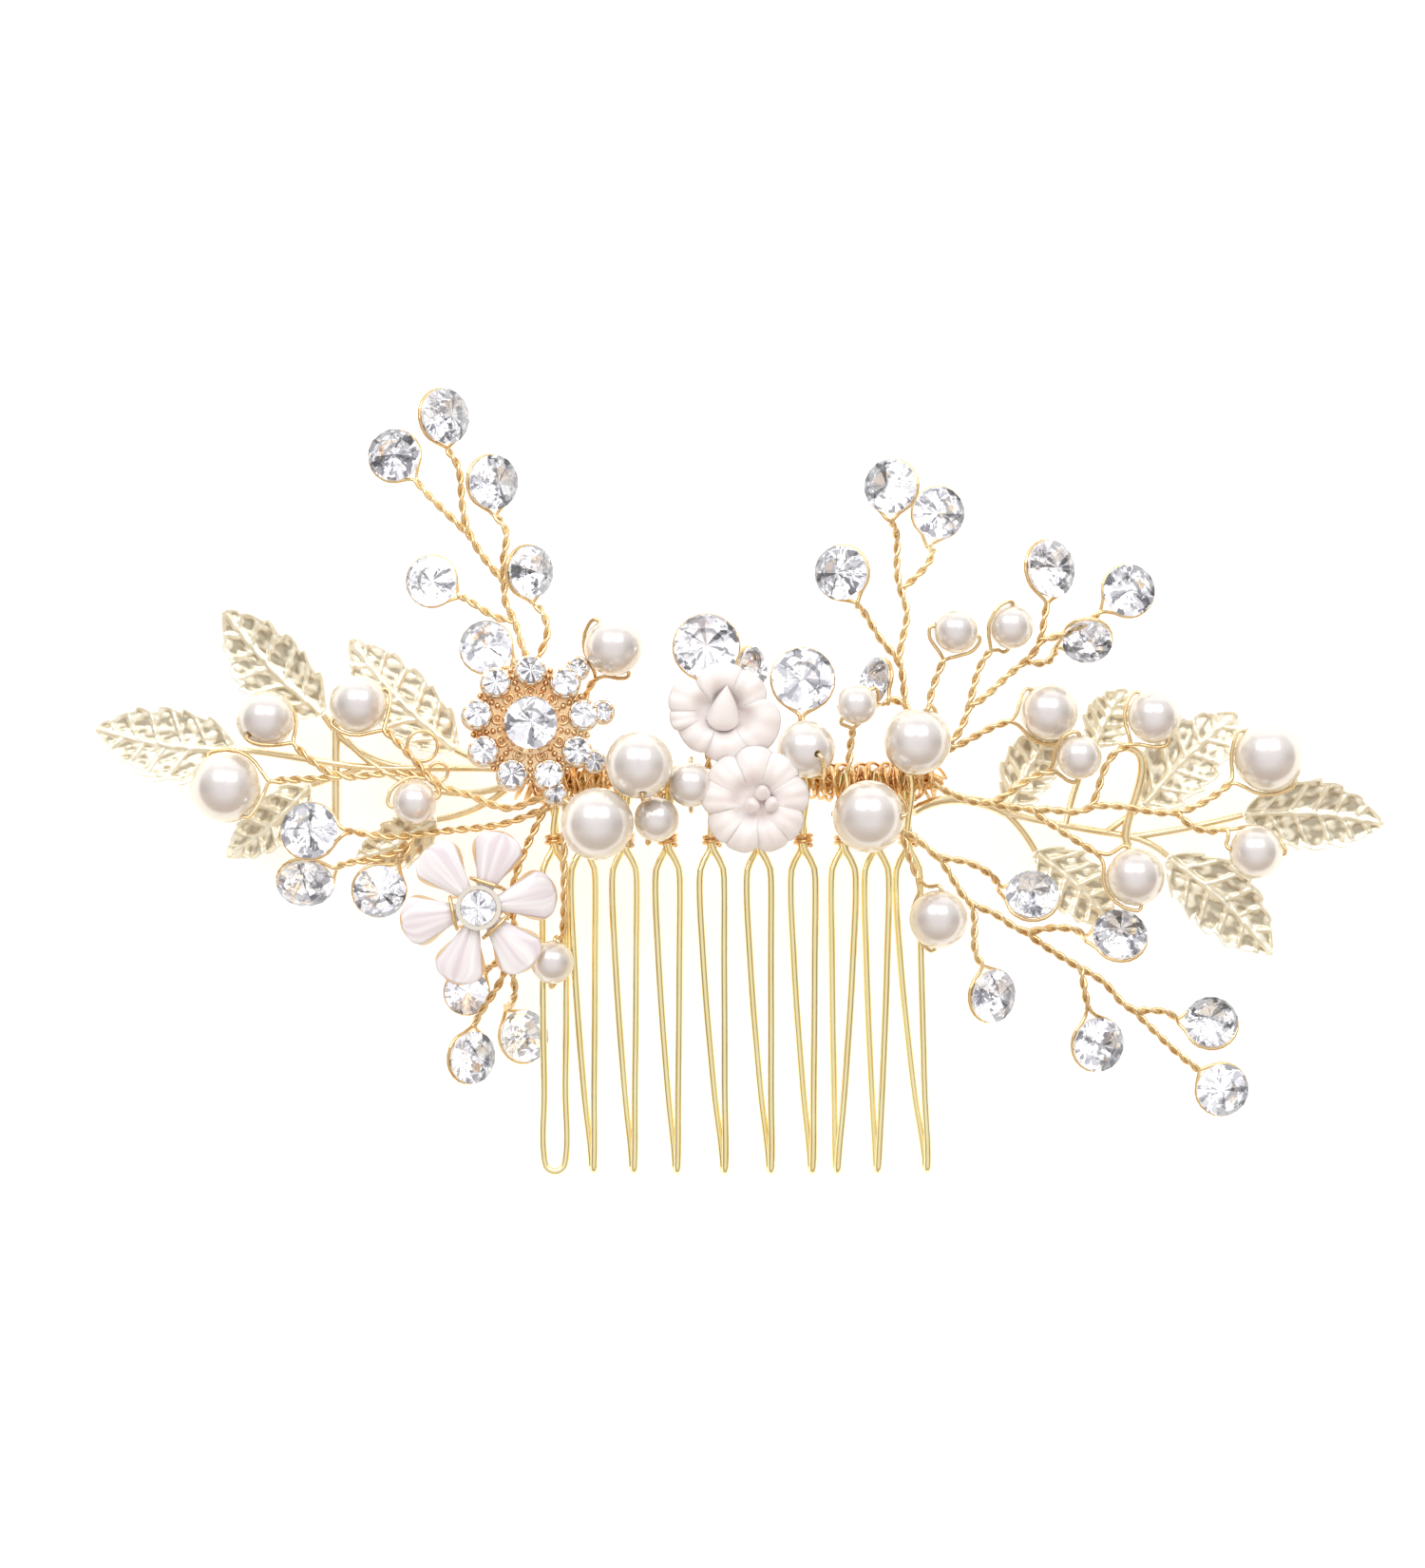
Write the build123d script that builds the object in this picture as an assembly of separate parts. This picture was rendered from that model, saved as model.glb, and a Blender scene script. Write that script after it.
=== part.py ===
from build123d import *
import math
import os

# Decorative hair comb: ten wire hairpin teeth hang from a bowed spine, and twisted wire
# sprigs carry pearls, faceted crystals, stamped leaves and flowers along the spine.
# Millimetres. X runs along the spine, +Z is up (the teeth point down), -Y is the show side.
# The origin is the middle of the spine. Sizes are driven by the values below.

# Comb blank
SPINE_HALF_LENGTH = 23.0
SPINE_STRAND_RADIUS = 0.5
SPINE_STRAND_OFFSET = 0.52
SPINE_BEHIND = 1.4
BOW_RADIUS = 40.0
BOW_DEPTH = 14.0
TOOTH_WIRE_RADIUS = 0.4
TOOTH_TOP_X = (-20.1, -16.9, -12.3, -7.5, -2.6, 2.6, 7.5, 12.0, 15.7, 19.2)
TOOTH_TIP_X = (-18.9, -15.7, -11.2, -6.4, -1.1, 4.0, 8.6, 11.4, 15.9, 21.4)
TOOTH_NECK_Z = -7.6
TOOTH_SHOULDER_Z = -10.8
TOOTH_TIP_Z = -43.4
TOOTH_NECK_SIDE = 0.2
TOOTH_NECK_DEPTH = 0.42
TOOTH_SPREAD = 2.7
TOOTH_TIP_SIDE = 0.25
TOOTH_TIP_DEPTH = 1.0
OPEN_TOOTH_X = TOOTH_TOP_X[0]
OPEN_TOOTH_TIP_SIDE = 2.3
LEG_STATIONS = 5
LEG_SWAY = 1.5
BINDING_RADIUS = 0.25
BINDING_COIL_RADIUS = 1.45
BINDING_COIL_STRETCH = 1.45
BINDING_BEHIND = 0.7
BINDING_PITCH = 1.15
KNOT_HALF_WIDTH = 0.88
KNOT_HALF_DEPTH = 1.09
KNOT_PITCH = 0.56
KNOT_TURNS = 2

# Twisted wire
WIRE_RADIUS = 0.225
TWIST_RADIUS = 0.245
TWIST_PITCH = 3.3
STATIONS_PER_TURN = 6
BENDS_PER_SECTION = (17.0, 14.0, 11.0, 8.0, 20.0)
LONGEST_SECTION = 1.3
FINE_STEP = 0.15
EASE_STEP = 0.25
EASE_ROUNDS = 80
TIGHTEST_TURN = 26.0

# Ornaments
BORE_RADIUS = 0.32
BORE_MOUTH_RADIUS = 0.55
BEAD_WIRE_LIFT = 0.36
LOOP_DROP = 0.68
LOOP_INSET = 0.05
CUP_WALL = 0.15
CUP_GAP = 0.05
LEAF_THICKNESS = 0.3
LEAF_WIRE_RADIUS = 0.4
LEAF_BAR_RADIUS = 0.5
LEAF_ARM_RADIUS = 0.6
SHELL_FRONT = 7.0
SHELL_PETAL_ANGLES = [12 + 60 * i for i in range(6)]
SHELL_PETAL_HALF_WIDTH = 2.6

# Pearls: x, z, distance in front of the spine line, diameter, bore direction
PEARLS = {
    "pearl_01": (-52.6, 6.9, 0.5, 6.5, (-0.55, -0.6, -0.55)),
    "pearl_02": (-42.1, 8.6, 0.5, 6.5, (0.85, 0.0, 0.5)),
    "pearl_03": (-57.0, -0.7, 1.5, 8.0, (0.5, -0.3, -0.8)),
    "pearl_04": (-35.7, -2.4, 2.4, 5.0, (1.0, 0.0, 0.2)),
    "pearl_05": (-13.5, 14.9, 1.5, 6.5, (-0.5, -0.1, 0.85)),
    "pearl_06": (-10.6, 1.8, 8.8, 7.5, (0.1, -0.5, -0.85)),
    "pearl_07": (-15.2, -4.7, 10.4, 8.0, (0.81, 0.0, -0.58)),
    "pearl_08": (-8.7, -4.2, 5.6, 5.0, (0.3, -0.1, 0.95)),
    "pearl_09": (-4.9, -0.4, 5.6, 5.0, (0.0, 0.0, 1.0)),
    "pearl_10": (-20.3, -20.1, 3.1, 4.8, (0.1, -0.1, 1.0)),
    "pearl_11": (7.8, 3.5, 4.9, 6.4, (0.42, -0.88, -0.18)),
    "pearl_12": (13.4, 8.5, 5.0, 4.5, (0.7, 0.0, 0.7)),
    "pearl_13": (20.1, 4.4, 6.0, 7.5, (0.3, -0.3, 0.9)),
    "pearl_14": (14.7, -3.9, 6.4, 8.0, (0.9, -0.4, 0.0)),
    "pearl_15": (24.5, 16.7, 2.0, 5.0, (-0.9, -0.2, 0.2)),
    "pearl_16": (30.7, 17.2, 2.0, 5.0, (0.1, -0.3, 0.95)),
    "pearl_17": (35.0, 7.7, 0.2, 6.5, (-0.6, -0.2, 0.75)),
    "pearl_18": (38.3, 2.7, 3.6, 5.0, (0.0, -0.3, 0.95)),
    "pearl_19": (46.8, 7.2, 2.0, 6.0, (0.5, -0.1, -0.85)),
    "pearl_20": (59.7, 2.8, 1.5, 8.0, (-0.7, -0.2, 0.7)),
    "pearl_21": (58.2, -7.9, 2.5, 6.0, (-0.95, -0.2, 0.1)),
    "pearl_22": (44.6, -10.7, 3.5, 6.5, (0.2, -0.1, -0.95)),
    "pearl_23": (22.5, -15.3, 4.4, 6.5, (0.1, -0.2, 0.97)),
}

# Crystals: x, z, distance in front of the spine line, diameter, sideways and upward tilt
CRYSTALS = {
    "top_left_crystals": {
        "a": (-32.3, 40.7, 0.5, 6.3, 0.6, 0.1),
        "b": (-38.1, 36.4, 0.5, 5.9, -0.15, 0.15),
        "c": (-26.9, 33.3, 0.5, 6.1, 0.5, 0.0),
        "d": (-33.9, 22.3, 0.5, 5.7, -0.1, 0.0),
        "e": (-22.7, 23.3, 0.5, 5.9, 0.6, 0.0),
        "f": (-27.8, 15.0, -0.5, 5.9, -0.1, 0.15),
    },
    "left_crystals": {
        "g": (-47.5, -5.5, 3.5, 6.4, -0.1, 0.15),
        "h": (-48.1, -11.5, -0.5, 6.5, 0.0, -0.65),
        "i": (-39.7, -12.3, 1.0, 6.0, 0.1, -0.2),
    },
    "lower_left_crystals": {
        "j": (-29.9, -23.5, 1.5, 5.0, 0.0, 0.0),
        "k": (-29.2, -30.8, 1.0, 5.9, 0.6, -0.1),
        "l": (-23.5, -28.5, -4.2, 5.9, 0.5, 0.1),
    },
    "centre_crystals": {
        "m": (-3.2, 14.9, 0.5, 7.3, 0.0, 0.1),
        "n": (7.5, 11.3, 1.0, 7.0, 0.05, 0.1),
        "o": (2.0, 12.2, -3.5, 5.5, 0.85, 0.0),
        "p": (15.4, 11.1, -2.0, 5.5, -0.85, 0.2),
    },
    "top_right_crystals": {
        "q": (11.7, 23.1, 1.0, 6.1, -0.3, 0.0),
        "r": (17.2, 32.7, 2.2, 6.1, -0.35, 0.1),
        "s": (22.7, 29.9, -2.0, 5.9, 0.2, 0.0),
    },
    "upper_right_crystals": {
        "t": (35.3, 23.7, 1.0, 6.5, 0.6, 0.1),
        "u": (44.0, 21.3, 1.0, 5.9, 0.15, 0.1),
        "v": (39.3, 15.5, 1.0, 5.6, 0.0, -0.6),
    },
    "lower_right_crystals": {
        "w": (33.1, -12.6, 2.0, 6.0, 0.0, 0.5),
        "x": (43.0, -17.1, 1.0, 6.2, 0.1, 0.5),
        "y": (28.8, -23.9, 1.5, 6.0, 0.6, -0.1),
        "z": (40.6, -29.4, 1.5, 6.1, 0.4, -0.1),
        "aa": (53.2, -26.9, 2.0, 6.0, 0.0, 0.4),
        "bb": (54.5, -34.5, 1.5, 5.9, 0.15, -0.1),
    },
}
ALL_CRYSTALS = {key: size for group in CRYSTALS.values() for key, size in group.items()}

# Leaves: base x, z, tip x, z, distance behind the spine line, width, roll about the midrib
LEAVES_LEFT = (
    (-56.2, 3.5, -71.8, 5.8, 3.4, 8.2, 10),
    (-46.4, 7.6, -57.2, 19.2, 3.6, 8.0, -10),
    (-31.4, 3.6, -43.2, 15.7, 4.4, 7.4, 10),
    (-47.8, -0.6, -57.0, -8.6, 4.4, 5.6, 15),
    (-33.5, -4.4, -42.3, -8.6, 2.6, 5.6, -10),
)
LEAVES_RIGHT = (
    (57.3, -3.7, 72.8, -4.6, 3.4, 7.8, 10),
    (45.9, -2.7, 56.4, 7.4, 3.2, 7.8, -10),
    (48.7, -8.6, 60.3, -19.2, 3.0, 7.6, 10),
    (33.7, -8.0, 42.2, -16.2, 3.6, 6.6, -10),
    (40.2, 3.9, 43.6, 10.4, 3.4, 5.2, 15),
    (30.6, -2.9, 36.4, 6.4, 3.4, 6.0, 5),
)


def spine_depth(x):
    """How far back the bowed spine line lies at x: round in the middle, flatter further out."""
    return BOW_DEPTH * x * x / (x * x + 2 * BOW_RADIUS * BOW_DEPTH)


def place(x, z, front=0.0):
    """A point x along and z above the spine, the given distance in front of the bowed line."""
    return Vector(x, spine_depth(x) - front, z)


def any_side(direction):
    """A unit vector square to the given direction."""
    helper = Vector(0, 1, 0) if abs(direction.Y) < 0.9 else Vector(1, 0, 0)
    return direction.cross(helper).normalized()


def stations(path, bend_limit):
    """Evenly shared places along a path, closer together where it bends."""
    count = max(4, math.ceil(path.length / FINE_STEP))
    tangents = [path.tangent_at(i / count) for i in range(count + 1)]
    need = [0.0]
    for before, after in zip(tangents, tangents[1:]):
        bend = after.get_angle(before) / bend_limit
        need.append(need[-1] + max(bend, path.length / count / LONGEST_SECTION))
    spacing = need[-1] / max(1, math.ceil(need[-1]))
    picked = []
    for i, amount in enumerate(need):
        if amount >= spacing * len(picked) - 1e-9 or i == count:
            picked.append((path.position_at(i / count), tangents[i]))
    return picked


def wire_sections(path, radius, bend_limit):
    """Round sections square to a path, each turned as little as possible from the last."""
    sections = []
    side = any_side(path.tangent_at(0))
    for position, tangent in stations(path, bend_limit):
        side = (side - tangent * side.dot(tangent)).normalized()
        plane = Plane(origin=position, x_dir=side, z_dir=tangent)
        sections.append((plane * Circle(radius)).face())
    return sections


def ease_bends(points):
    """Round off bends that are tighter than the wire can take."""
    path = Spline(*points)
    count = math.ceil(path.length / EASE_STEP)
    eased = [path.position_at(i / count) for i in range(count + 1)]
    for _ in range(EASE_ROUNDS):
        for i in range(1, count):
            before = eased[i] - eased[i - 1]
            after = eased[i + 1] - eased[i]
            if before.get_angle(after) > TIGHTEST_TURN:
                eased[i] = (eased[i - 1] + eased[i] * 2 + eased[i + 1]) / 4
    return Spline(*eased[:-1:2], eased[-1])


def tube(points, radius):
    """A solid round wire along a smooth curve through the points."""
    path = ease_bends(points)
    for bend_limit in BENDS_PER_SECTION:
        try:
            wire = loft(wire_sections(path, radius, bend_limit), ruled=True)
        except Exception:
            continue
        if wire.is_valid and wire.volume > 0.9 * math.pi * radius ** 2 * path.length:
            return wire
    raise RuntimeError("a wire could not be closed")


def twisted_pair(centre_points):
    """The two strands of a twisted stem: one going up from the root, the other coming back."""
    if len(centre_points) > 2:
        path = Spline(*centre_points)
    else:
        path = Line(*centre_points)
    count = max(2, round(path.length / TWIST_PITCH * STATIONS_PER_TURN))
    side = any_side(path.tangent_at(0))
    up = []
    down = []
    for i in range(count + 1):
        tangent = path.tangent_at(i / count)
        side = (side - tangent * side.dot(tangent)).normalized()
        angle = 2 * math.pi * i / STATIONS_PER_TURN
        spoke = side * math.cos(angle) + tangent.cross(side) * math.sin(angle)
        centre = path.position_at(i / count)
        up.append(centre + spoke * TWIST_RADIUS)
        down.append(centre - spoke * TWIST_RADIUS)
    return up, down[::-1]


def crystal_axis(key):
    """The direction the crystal's table faces."""
    tilt_x, tilt_z = ALL_CRYSTALS[key][4:6]
    return Vector(tilt_x, -math.sqrt(1 - tilt_x ** 2 - tilt_z ** 2), tilt_z)


def crystal_centre(key):
    x, z, front = ALL_CRYSTALS[key][:3]
    return place(x, z, front)


def crystal_loop(key, arriving):
    """The stem end and the wire loop just behind a crystal's girdle."""
    axis = crystal_axis(key)
    centre = crystal_centre(key) - axis * LOOP_DROP
    reach = ALL_CRYSTALS[key][3] / 2 - LOOP_INSET
    back = arriving - centre
    out = (back - axis * back.dot(axis)).normalized()
    across = axis.cross(out)
    loop = []
    for degrees in range(24, 337, 24):
        angle = math.radians(degrees)
        loop.append(centre + (out * math.cos(angle) + across * math.sin(angle)) * reach)
    return centre + out * (reach + 0.9), loop


def pearl_centre(name):
    x, z, front = PEARLS[name][:3]
    return place(x, z, front)


def into_bore(centre, radius, side, axis, start_angle):
    """Wire points from beside a pearl, over its surface and down into one end of its bore."""
    points = []
    first = math.degrees(math.asin(min(1.0, 1.5 / radius)))
    steps = max(1, round((start_angle - first) / 22))
    for i in range(steps):
        angle = math.radians(start_angle + (first - start_angle) * i / steps)
        spoke = side * math.sin(angle) + axis * math.cos(angle)
        lift = BEAD_WIRE_LIFT * (1.8 if i == 0 else 1.0)
        points.append(centre + spoke * (radius + lift))
    for sideways, height in ((1.45, 0.16), (0.8, 0.42), (0.3, 0.5), (0.03, 0.2)):
        points.append(centre + side * sideways + axis * (radius + height))
    points.append(centre + axis * (radius - 0.35))
    return points


def pearl_loop(name, arriving):
    """The stem end and the wire that runs round and through a pearl."""
    centre = pearl_centre(name)
    radius = PEARLS[name][3] / 2
    axis = Vector(*PEARLS[name][4]).normalized()
    back = (arriving - centre).normalized()
    if back.dot(axis) < 0:
        axis = axis * -1
    side = back - axis * back.dot(axis)
    side = side.normalized() if side.length > 0.2 else any_side(axis)
    back_angle = math.degrees(back.get_angle(axis) * math.pi / 180)
    back_angle = max(back_angle, 40.0)
    spoke = side * math.sin(math.radians(back_angle)) + axis * math.cos(math.radians(back_angle))
    going = into_bore(centre, radius, side, axis, back_angle - 9)
    coming = into_bore(centre, radius, side, axis * -1, 180 - back_angle - 9)
    loop = going + [centre] + coming[::-1]
    return centre + spoke * (radius + 1.3), loop


def ornament_loop(name, arriving):
    if name in PEARLS:
        return pearl_loop(name, arriving)
    return crystal_loop(name, arriving)


def sprig(points, tips, front):
    """The twisted wires of a branching sprig.

    The first branch at each fork is the same wire as the stem below it, and every other
    branch is a wire of its own that is twisted in at the fork.
    """
    centres = [p if isinstance(p, Vector) else place(*p, front) for p in points]
    if isinstance(tips, str):
        stem_end, loop = ornament_loop(tips, centres[-1])
        up, down = twisted_pair(centres + [stem_end])
        return [tube(up + loop + down, WIRE_RADIUS)]
    first_points, first_tips = tips[0]
    wires = sprig(centres + first_points, first_tips, front)
    for branch_points, branch_tips in tips[1:]:
        wires += sprig([centres[-1]] + branch_points, branch_tips, front)
    return wires


def sprigs():
    """Every branching sprig, as the path from its root to its tips."""
    return {
        "top_left_sprig_wire": sprig(
            [(-22.0, 1.6), (-22.4, 7.0), (-22.3, 12.6)],
            [([(-21.4, 14.8), (-20.9, 16.4), (-21.2, 18.3)], "e"),
             ([(-24.0, 16.0), (-24.6, 17.9)],
              [([(-25.6, 20.0), (-25.7, 22.1)],
                [([(-25.8, 24.9), (-25.5, 26.5)], "c"),
                 ([(-28.0, 24.9), (-29.4, 27.1)],
                  [([(-30.5, 31.5), (-30.7, 34.2)], "a"),
                   ([(-32.4, 30.1), (-34.3, 32.0)], "b")])]),
               ([(-27.1, 18.5), (-29.2, 19.8)], "d")]),
             ([(-24.6, 13.2)], "f")],
            0.5),
        "left_pearl_wire": sprig(
            [(-19.5, -0.9), (-22.5, -2.2), (-25.2, -3.0), (-29.5, -1.6), (-33.5, -0.1)],
            [([(-35.1, 1.6), (-36.2, 2.8)], "pearl_02"),
             ([(-38.3, 0.9), (-40.5, 0.7), (-44.2, 0.6)],
              [([(-46.5, 1.7)], "pearl_01"),
               ([(-48.0, 0.2), (-50.4, 0.1)], "pearl_03")]),
             ([], "pearl_04")],
            1.8),
        "left_crystal_wire": sprig(
            [(-19.5, -2.4), (-22.5, -3.6), (-25.2, -4.6), (-30.7, -5.4), (-36.0, -6.0)],
            [([(-38.8, -6.2), (-41.8, -5.8)], "g"),
             ([(-38.0, -8.0), (-41.0, -8.8)], "h"),
             ([(-37.2, -8.6)], "i")],
            1.2),
        "lower_left_sprig_wire": sprig(
            [(-20.8, -2.4), (-22.6, -6.0), (-24.8, -14.0), (-25.3, -19.5)],
            [([(-27.0, -20.4)], "j"),
             ([(-26.6, -23.1), (-27.6, -24.6)], "k"),
             ([(-24.6, -22.4)], "l")],
            1.4),
        "top_right_sprig_wire": sprig(
            [(18.6, 1.6), (18.9, 5.0), (18.9, 8.4)],
            [([(17.6, 9.0)], "p"),
             ([(18.7, 11.1), (18.3, 13.0)],
              [([(16.3, 15.6), (14.9, 17.8)], "q"),
               ([(18.8, 16.6), (19.1, 18.9), (18.4, 21.2)],
                [([(18.0, 23.6), (18.0, 26.3)], "r"),
                 ([(20.3, 22.9), (21.7, 24.6)], "s")])])],
            -0.6),
        "upper_right_sprig_wire": sprig(
            [(21.5, 1.6), (22.4, 3.2)],
            [([(21.6, 8.0), (22.2, 11.0)], "pearl_15"),
             ([(24.6, 5.0), (26.0, 8.2)],
              [([(26.7, 11.1)], "pearl_16"),
               ([(28.4, 9.9), (30.9, 12.2), (32.4, 13.4)],
                [([(34.0, 15.6)],
                  [([(34.4, 17.6)], "t"),
                   ([(36.5, 16.4), (39.6, 17.9)], "u")]),
                 ([(34.6, 13.2)], "v")])]),
             ([(27.1, 5.2), (29.4, 6.3)], "pearl_17")],
            0.8),
        "right_pearl_wire": sprig(
            [(22.0, -0.4), (25.0, -1.8), (28.0, -2.4)],
            [([(31.8, -0.4)], "pearl_18"),
             ([(30.5, -2.9), (32.7, -3.1)],
              [([(35.1, -3.2), (39.4, -3.0)],
                [([(40.8, 0.2)], "pearl_19"),
                 ([(45.2, -3.2), (49.3, -3.5)],
                  [([(51.9, -2.6)], "pearl_20"),
                   ([(51.9, -5.4)], "pearl_21")])]),
               ([(35.8, -5.2)], "pearl_22")])],
            2.0),
        "lower_right_sprig_wire": sprig(
            [(17.6, -2.0), (18.4, -5.3)],
            [([(20.5, -6.7), (22.4, -8.3)],
              [([(25.3, -8.9), (27.1, -9.6)], "w"),
               ([(24.6, -11.6), (26.1, -13.5)],
                [([(28.9, -14.8), (32.2, -16.7)],
                  [([(34.9, -16.4), (36.8, -16.4)], "x"),
                   ([(35.6, -19.1), (38.6, -20.9)],
                    [([(41.4, -22.7), (44.2, -25.4)],
                      [([(46.5, -25.6)], "aa"),
                       ([(46.8, -27.9), (49.0, -30.0)], "bb")]),
                     ([(39.0, -23.6)], "z")])]),
                 ([(26.6, -16.4), (26.6, -18.4)], "y")])]),
             ([(19.2, -8.0)], "pearl_23")],
            2.0),
    }


def bead_stem(name, x, z=-0.2, via=(), front=1.9):
    """A single bead's own twisted wire from the spine."""
    return sprig([place(x, z, front), *via], name, front)


def bar_bead_wires():
    return sum([
        bead_stem("pearl_05", -16.0, 1.4, [place(-17.2, 7.0, -0.6), place(-16.6, 9.6, -0.9)], -0.2),
        bead_stem("pearl_06", -10.6, 0.8),
        bead_stem("pearl_07", -15.2, -1.0),
        bead_stem("pearl_08", -8.7, -1.2),
        bead_stem("pearl_09", -4.9, -0.2),
        bead_stem("pearl_10", -18.6, -1.2, [place(-19.0, -7.2, 2.0), place(-19.0, -12.5, 2.0)]),
        bead_stem("pearl_11", 8.6, 0.4),
        bead_stem("pearl_12", 12.6, 1.0, [place(12.8, 4.4, 2.4)]),
        bead_stem("pearl_13", 20.2, 0.9),
        bead_stem("pearl_14", 14.4, -1.0),
    ], [])


def centre_crystal_wires():
    return sum([
        sprig([place(-3.0, 1.4, 1.0), place(-3.0, 5.0, 0.8), place(-3.1, 8.5, 0.5)], "m", 0.5),
        sprig([place(6.6, 1.4, 1.0), place(7.2, 4.4, 0.8)], "n", 0.5),
        sprig([place(2.0, 1.4, -0.6), place(2.0, 5.4, -2.0)], "o", 0.5),
    ], [])


def gem(diameter):
    """A round faceted crystal: table, crown, thin girdle and pointed pavilion, facing +Z."""
    radius = diameter / 2
    points = [(0, 0, -0.86 * radius)]
    for count, reach, height, turn in (
        (8, 0.56, 0.34, 0.5),
        (8, 0.80, 0.20, 0.0),
        (16, 1.0, 0.05, 0.5),
        (16, 1.0, -0.05, 0.5),
    ):
        for i in range(count):
            angle = 2 * math.pi * (i + turn) / count
            points.append((
                reach * radius * math.cos(angle),
                reach * radius * math.sin(angle),
                height * radius,
            ))
    return ConvexPolyhedron(points)


def cup(diameter):
    """The thin pressed setting behind a crystal, facing +Z."""
    radius = diameter / 2
    top = -0.12 * radius
    rim = radius * (0.86 + top / radius) / 0.81
    bottom = -0.62 * radius
    waist = radius * (0.86 + bottom / radius) / 0.81
    profile = Polyline(
        (rim + CUP_GAP, top),
        (rim + CUP_GAP + CUP_WALL, top),
        (waist + CUP_GAP + CUP_WALL, bottom - CUP_WALL),
        (waist + CUP_GAP, bottom),
        close=True,
    )
    return revolve(Plane.XZ * make_face(profile), Axis.Z)


def crystal_frame(key):
    return Plane(origin=crystal_centre(key), z_dir=crystal_axis(key))


def pearl(name):
    """A drilled pearl with softened bore mouths."""
    centre = pearl_centre(name)
    radius = PEARLS[name][3] / 2
    frame = Plane(origin=centre, z_dir=Vector(*PEARLS[name][4]).normalized())
    lip = BORE_MOUTH_RADIUS - BORE_RADIUS
    top = math.sqrt(radius ** 2 - BORE_MOUTH_RADIUS ** 2)
    outline = [
        Line((BORE_RADIUS, -top + lip), (BORE_RADIUS, top - lip)),
        Line((BORE_RADIUS, top - lip), (BORE_MOUTH_RADIUS, top)),
        ThreePointArc((BORE_MOUTH_RADIUS, top), (radius, 0), (BORE_MOUTH_RADIUS, -top)),
        Line((BORE_MOUTH_RADIUS, -top), (BORE_RADIUS, -top + lip)),
    ]
    return frame * revolve(Plane.XZ * make_face(outline), Axis.Z)


def tooth_leg(x, side, tip):
    """Points down one leg: past the other leg at the neck, round the shoulder, to the tip."""
    y = spine_depth(x)
    neck_x = x + side * TOOTH_NECK_SIDE
    neck_y = y - side * TOOTH_NECK_DEPTH
    reach = side * TOOTH_SPREAD / 2
    points = [Vector(neck_x, neck_y, z) for z in (1.0, -3.0, TOOTH_NECK_Z)]
    points.append(Vector(x + 0.6 * reach, y - 0.5 * side * TOOTH_NECK_DEPTH, TOOTH_NECK_Z - 1.1))
    points.append(Vector(x + 0.92 * reach, y - 0.1 * side * TOOTH_NECK_DEPTH, TOOTH_NECK_Z - 2.1))
    shoulder = Vector(x + reach, y, TOOTH_SHOULDER_Z)
    drop = tip - shoulder
    for i in range(LEG_STATIONS):
        share = i / LEG_STATIONS
        sway = share ** LEG_SWAY
        points.append(shoulder + Vector(drop.X * sway, drop.Y * sway, drop.Z * share))
    return points


def tooth(x, tip_x):
    """One hairpin: a bound neck, two springy legs, and a bend that turns one behind the other."""
    gap = Vector(TOOTH_TIP_SIDE, -TOOTH_TIP_DEPTH, 0)
    if x == OPEN_TOOTH_X:
        gap = Vector(OPEN_TOOTH_TIP_SIDE, 0, 0)
    radius = gap.length / 2
    across = gap.normalized() * radius
    right_end = Vector(tip_x, spine_depth(x), TOOTH_TIP_Z + radius)
    middle = right_end - across
    bend = []
    for angle in (180, 215, 270, 325, 360):
        turn = math.radians(angle)
        bend.append(middle + across * math.cos(turn) + Vector(0, 0, radius * math.sin(turn)))
    left_leg = tooth_leg(x, -1, bend[0])
    right_leg = tooth_leg(x, 1, right_end)
    return tube(left_leg + bend + right_leg[::-1], TOOTH_WIRE_RADIUS)


def spine_strands():
    """Two heavier wires twisted along the bow to make the spine."""
    path = Spline(*[place(SPINE_HALF_LENGTH * i / 6, 0, -SPINE_BEHIND) for i in range(-6, 7)])
    strands = []
    count = 60
    for turn in (0.0, math.pi):
        points = []
        for i in range(count + 1):
            angle = turn + 2 * math.pi * i / 8
            spoke = Vector(0, math.cos(angle), math.sin(angle))
            points.append(path.position_at(i / count) + spoke * SPINE_STRAND_OFFSET)
        strands.append(tube(points, SPINE_STRAND_RADIUS))
    return strands


def binding_coil(start_x, end_x):
    """A run of fine wire wound round the spine and the wires that lie on it."""
    turns = max(2, round((end_x - start_x) / BINDING_PITCH))
    points = []
    for i in range(turns * 8 + 1):
        centre = place(start_x + (end_x - start_x) * i / (turns * 8), 0, -BINDING_BEHIND)
        angle = 2 * math.pi * i / 8
        spoke = Vector(0, BINDING_COIL_STRETCH * math.cos(angle), math.sin(angle))
        points.append(centre + spoke * BINDING_COIL_RADIUS)
    return tube(points, BINDING_RADIUS)


def binding():
    """The binding between each pair of teeth and at both ends of the spine."""
    stops = (-SPINE_HALF_LENGTH, *TOOTH_TOP_X, SPINE_HALF_LENGTH)
    return [binding_coil(a + 0.5, b - 0.5) for a, b in zip(stops, stops[1:])]


def neck_knot(x):
    """A short wire coil that ties a tooth's neck just above its shoulder."""
    y = spine_depth(x)
    points = []
    for i in range(8 * KNOT_TURNS + 1):
        angle = 2 * math.pi * i / 8
        points.append(Vector(
            x + KNOT_HALF_WIDTH * math.cos(angle),
            y + KNOT_HALF_DEPTH * math.sin(angle),
            TOOTH_NECK_Z + 0.5 + KNOT_PITCH * i / 8,
        ))
    return tube(points, BINDING_RADIUS)


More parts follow.
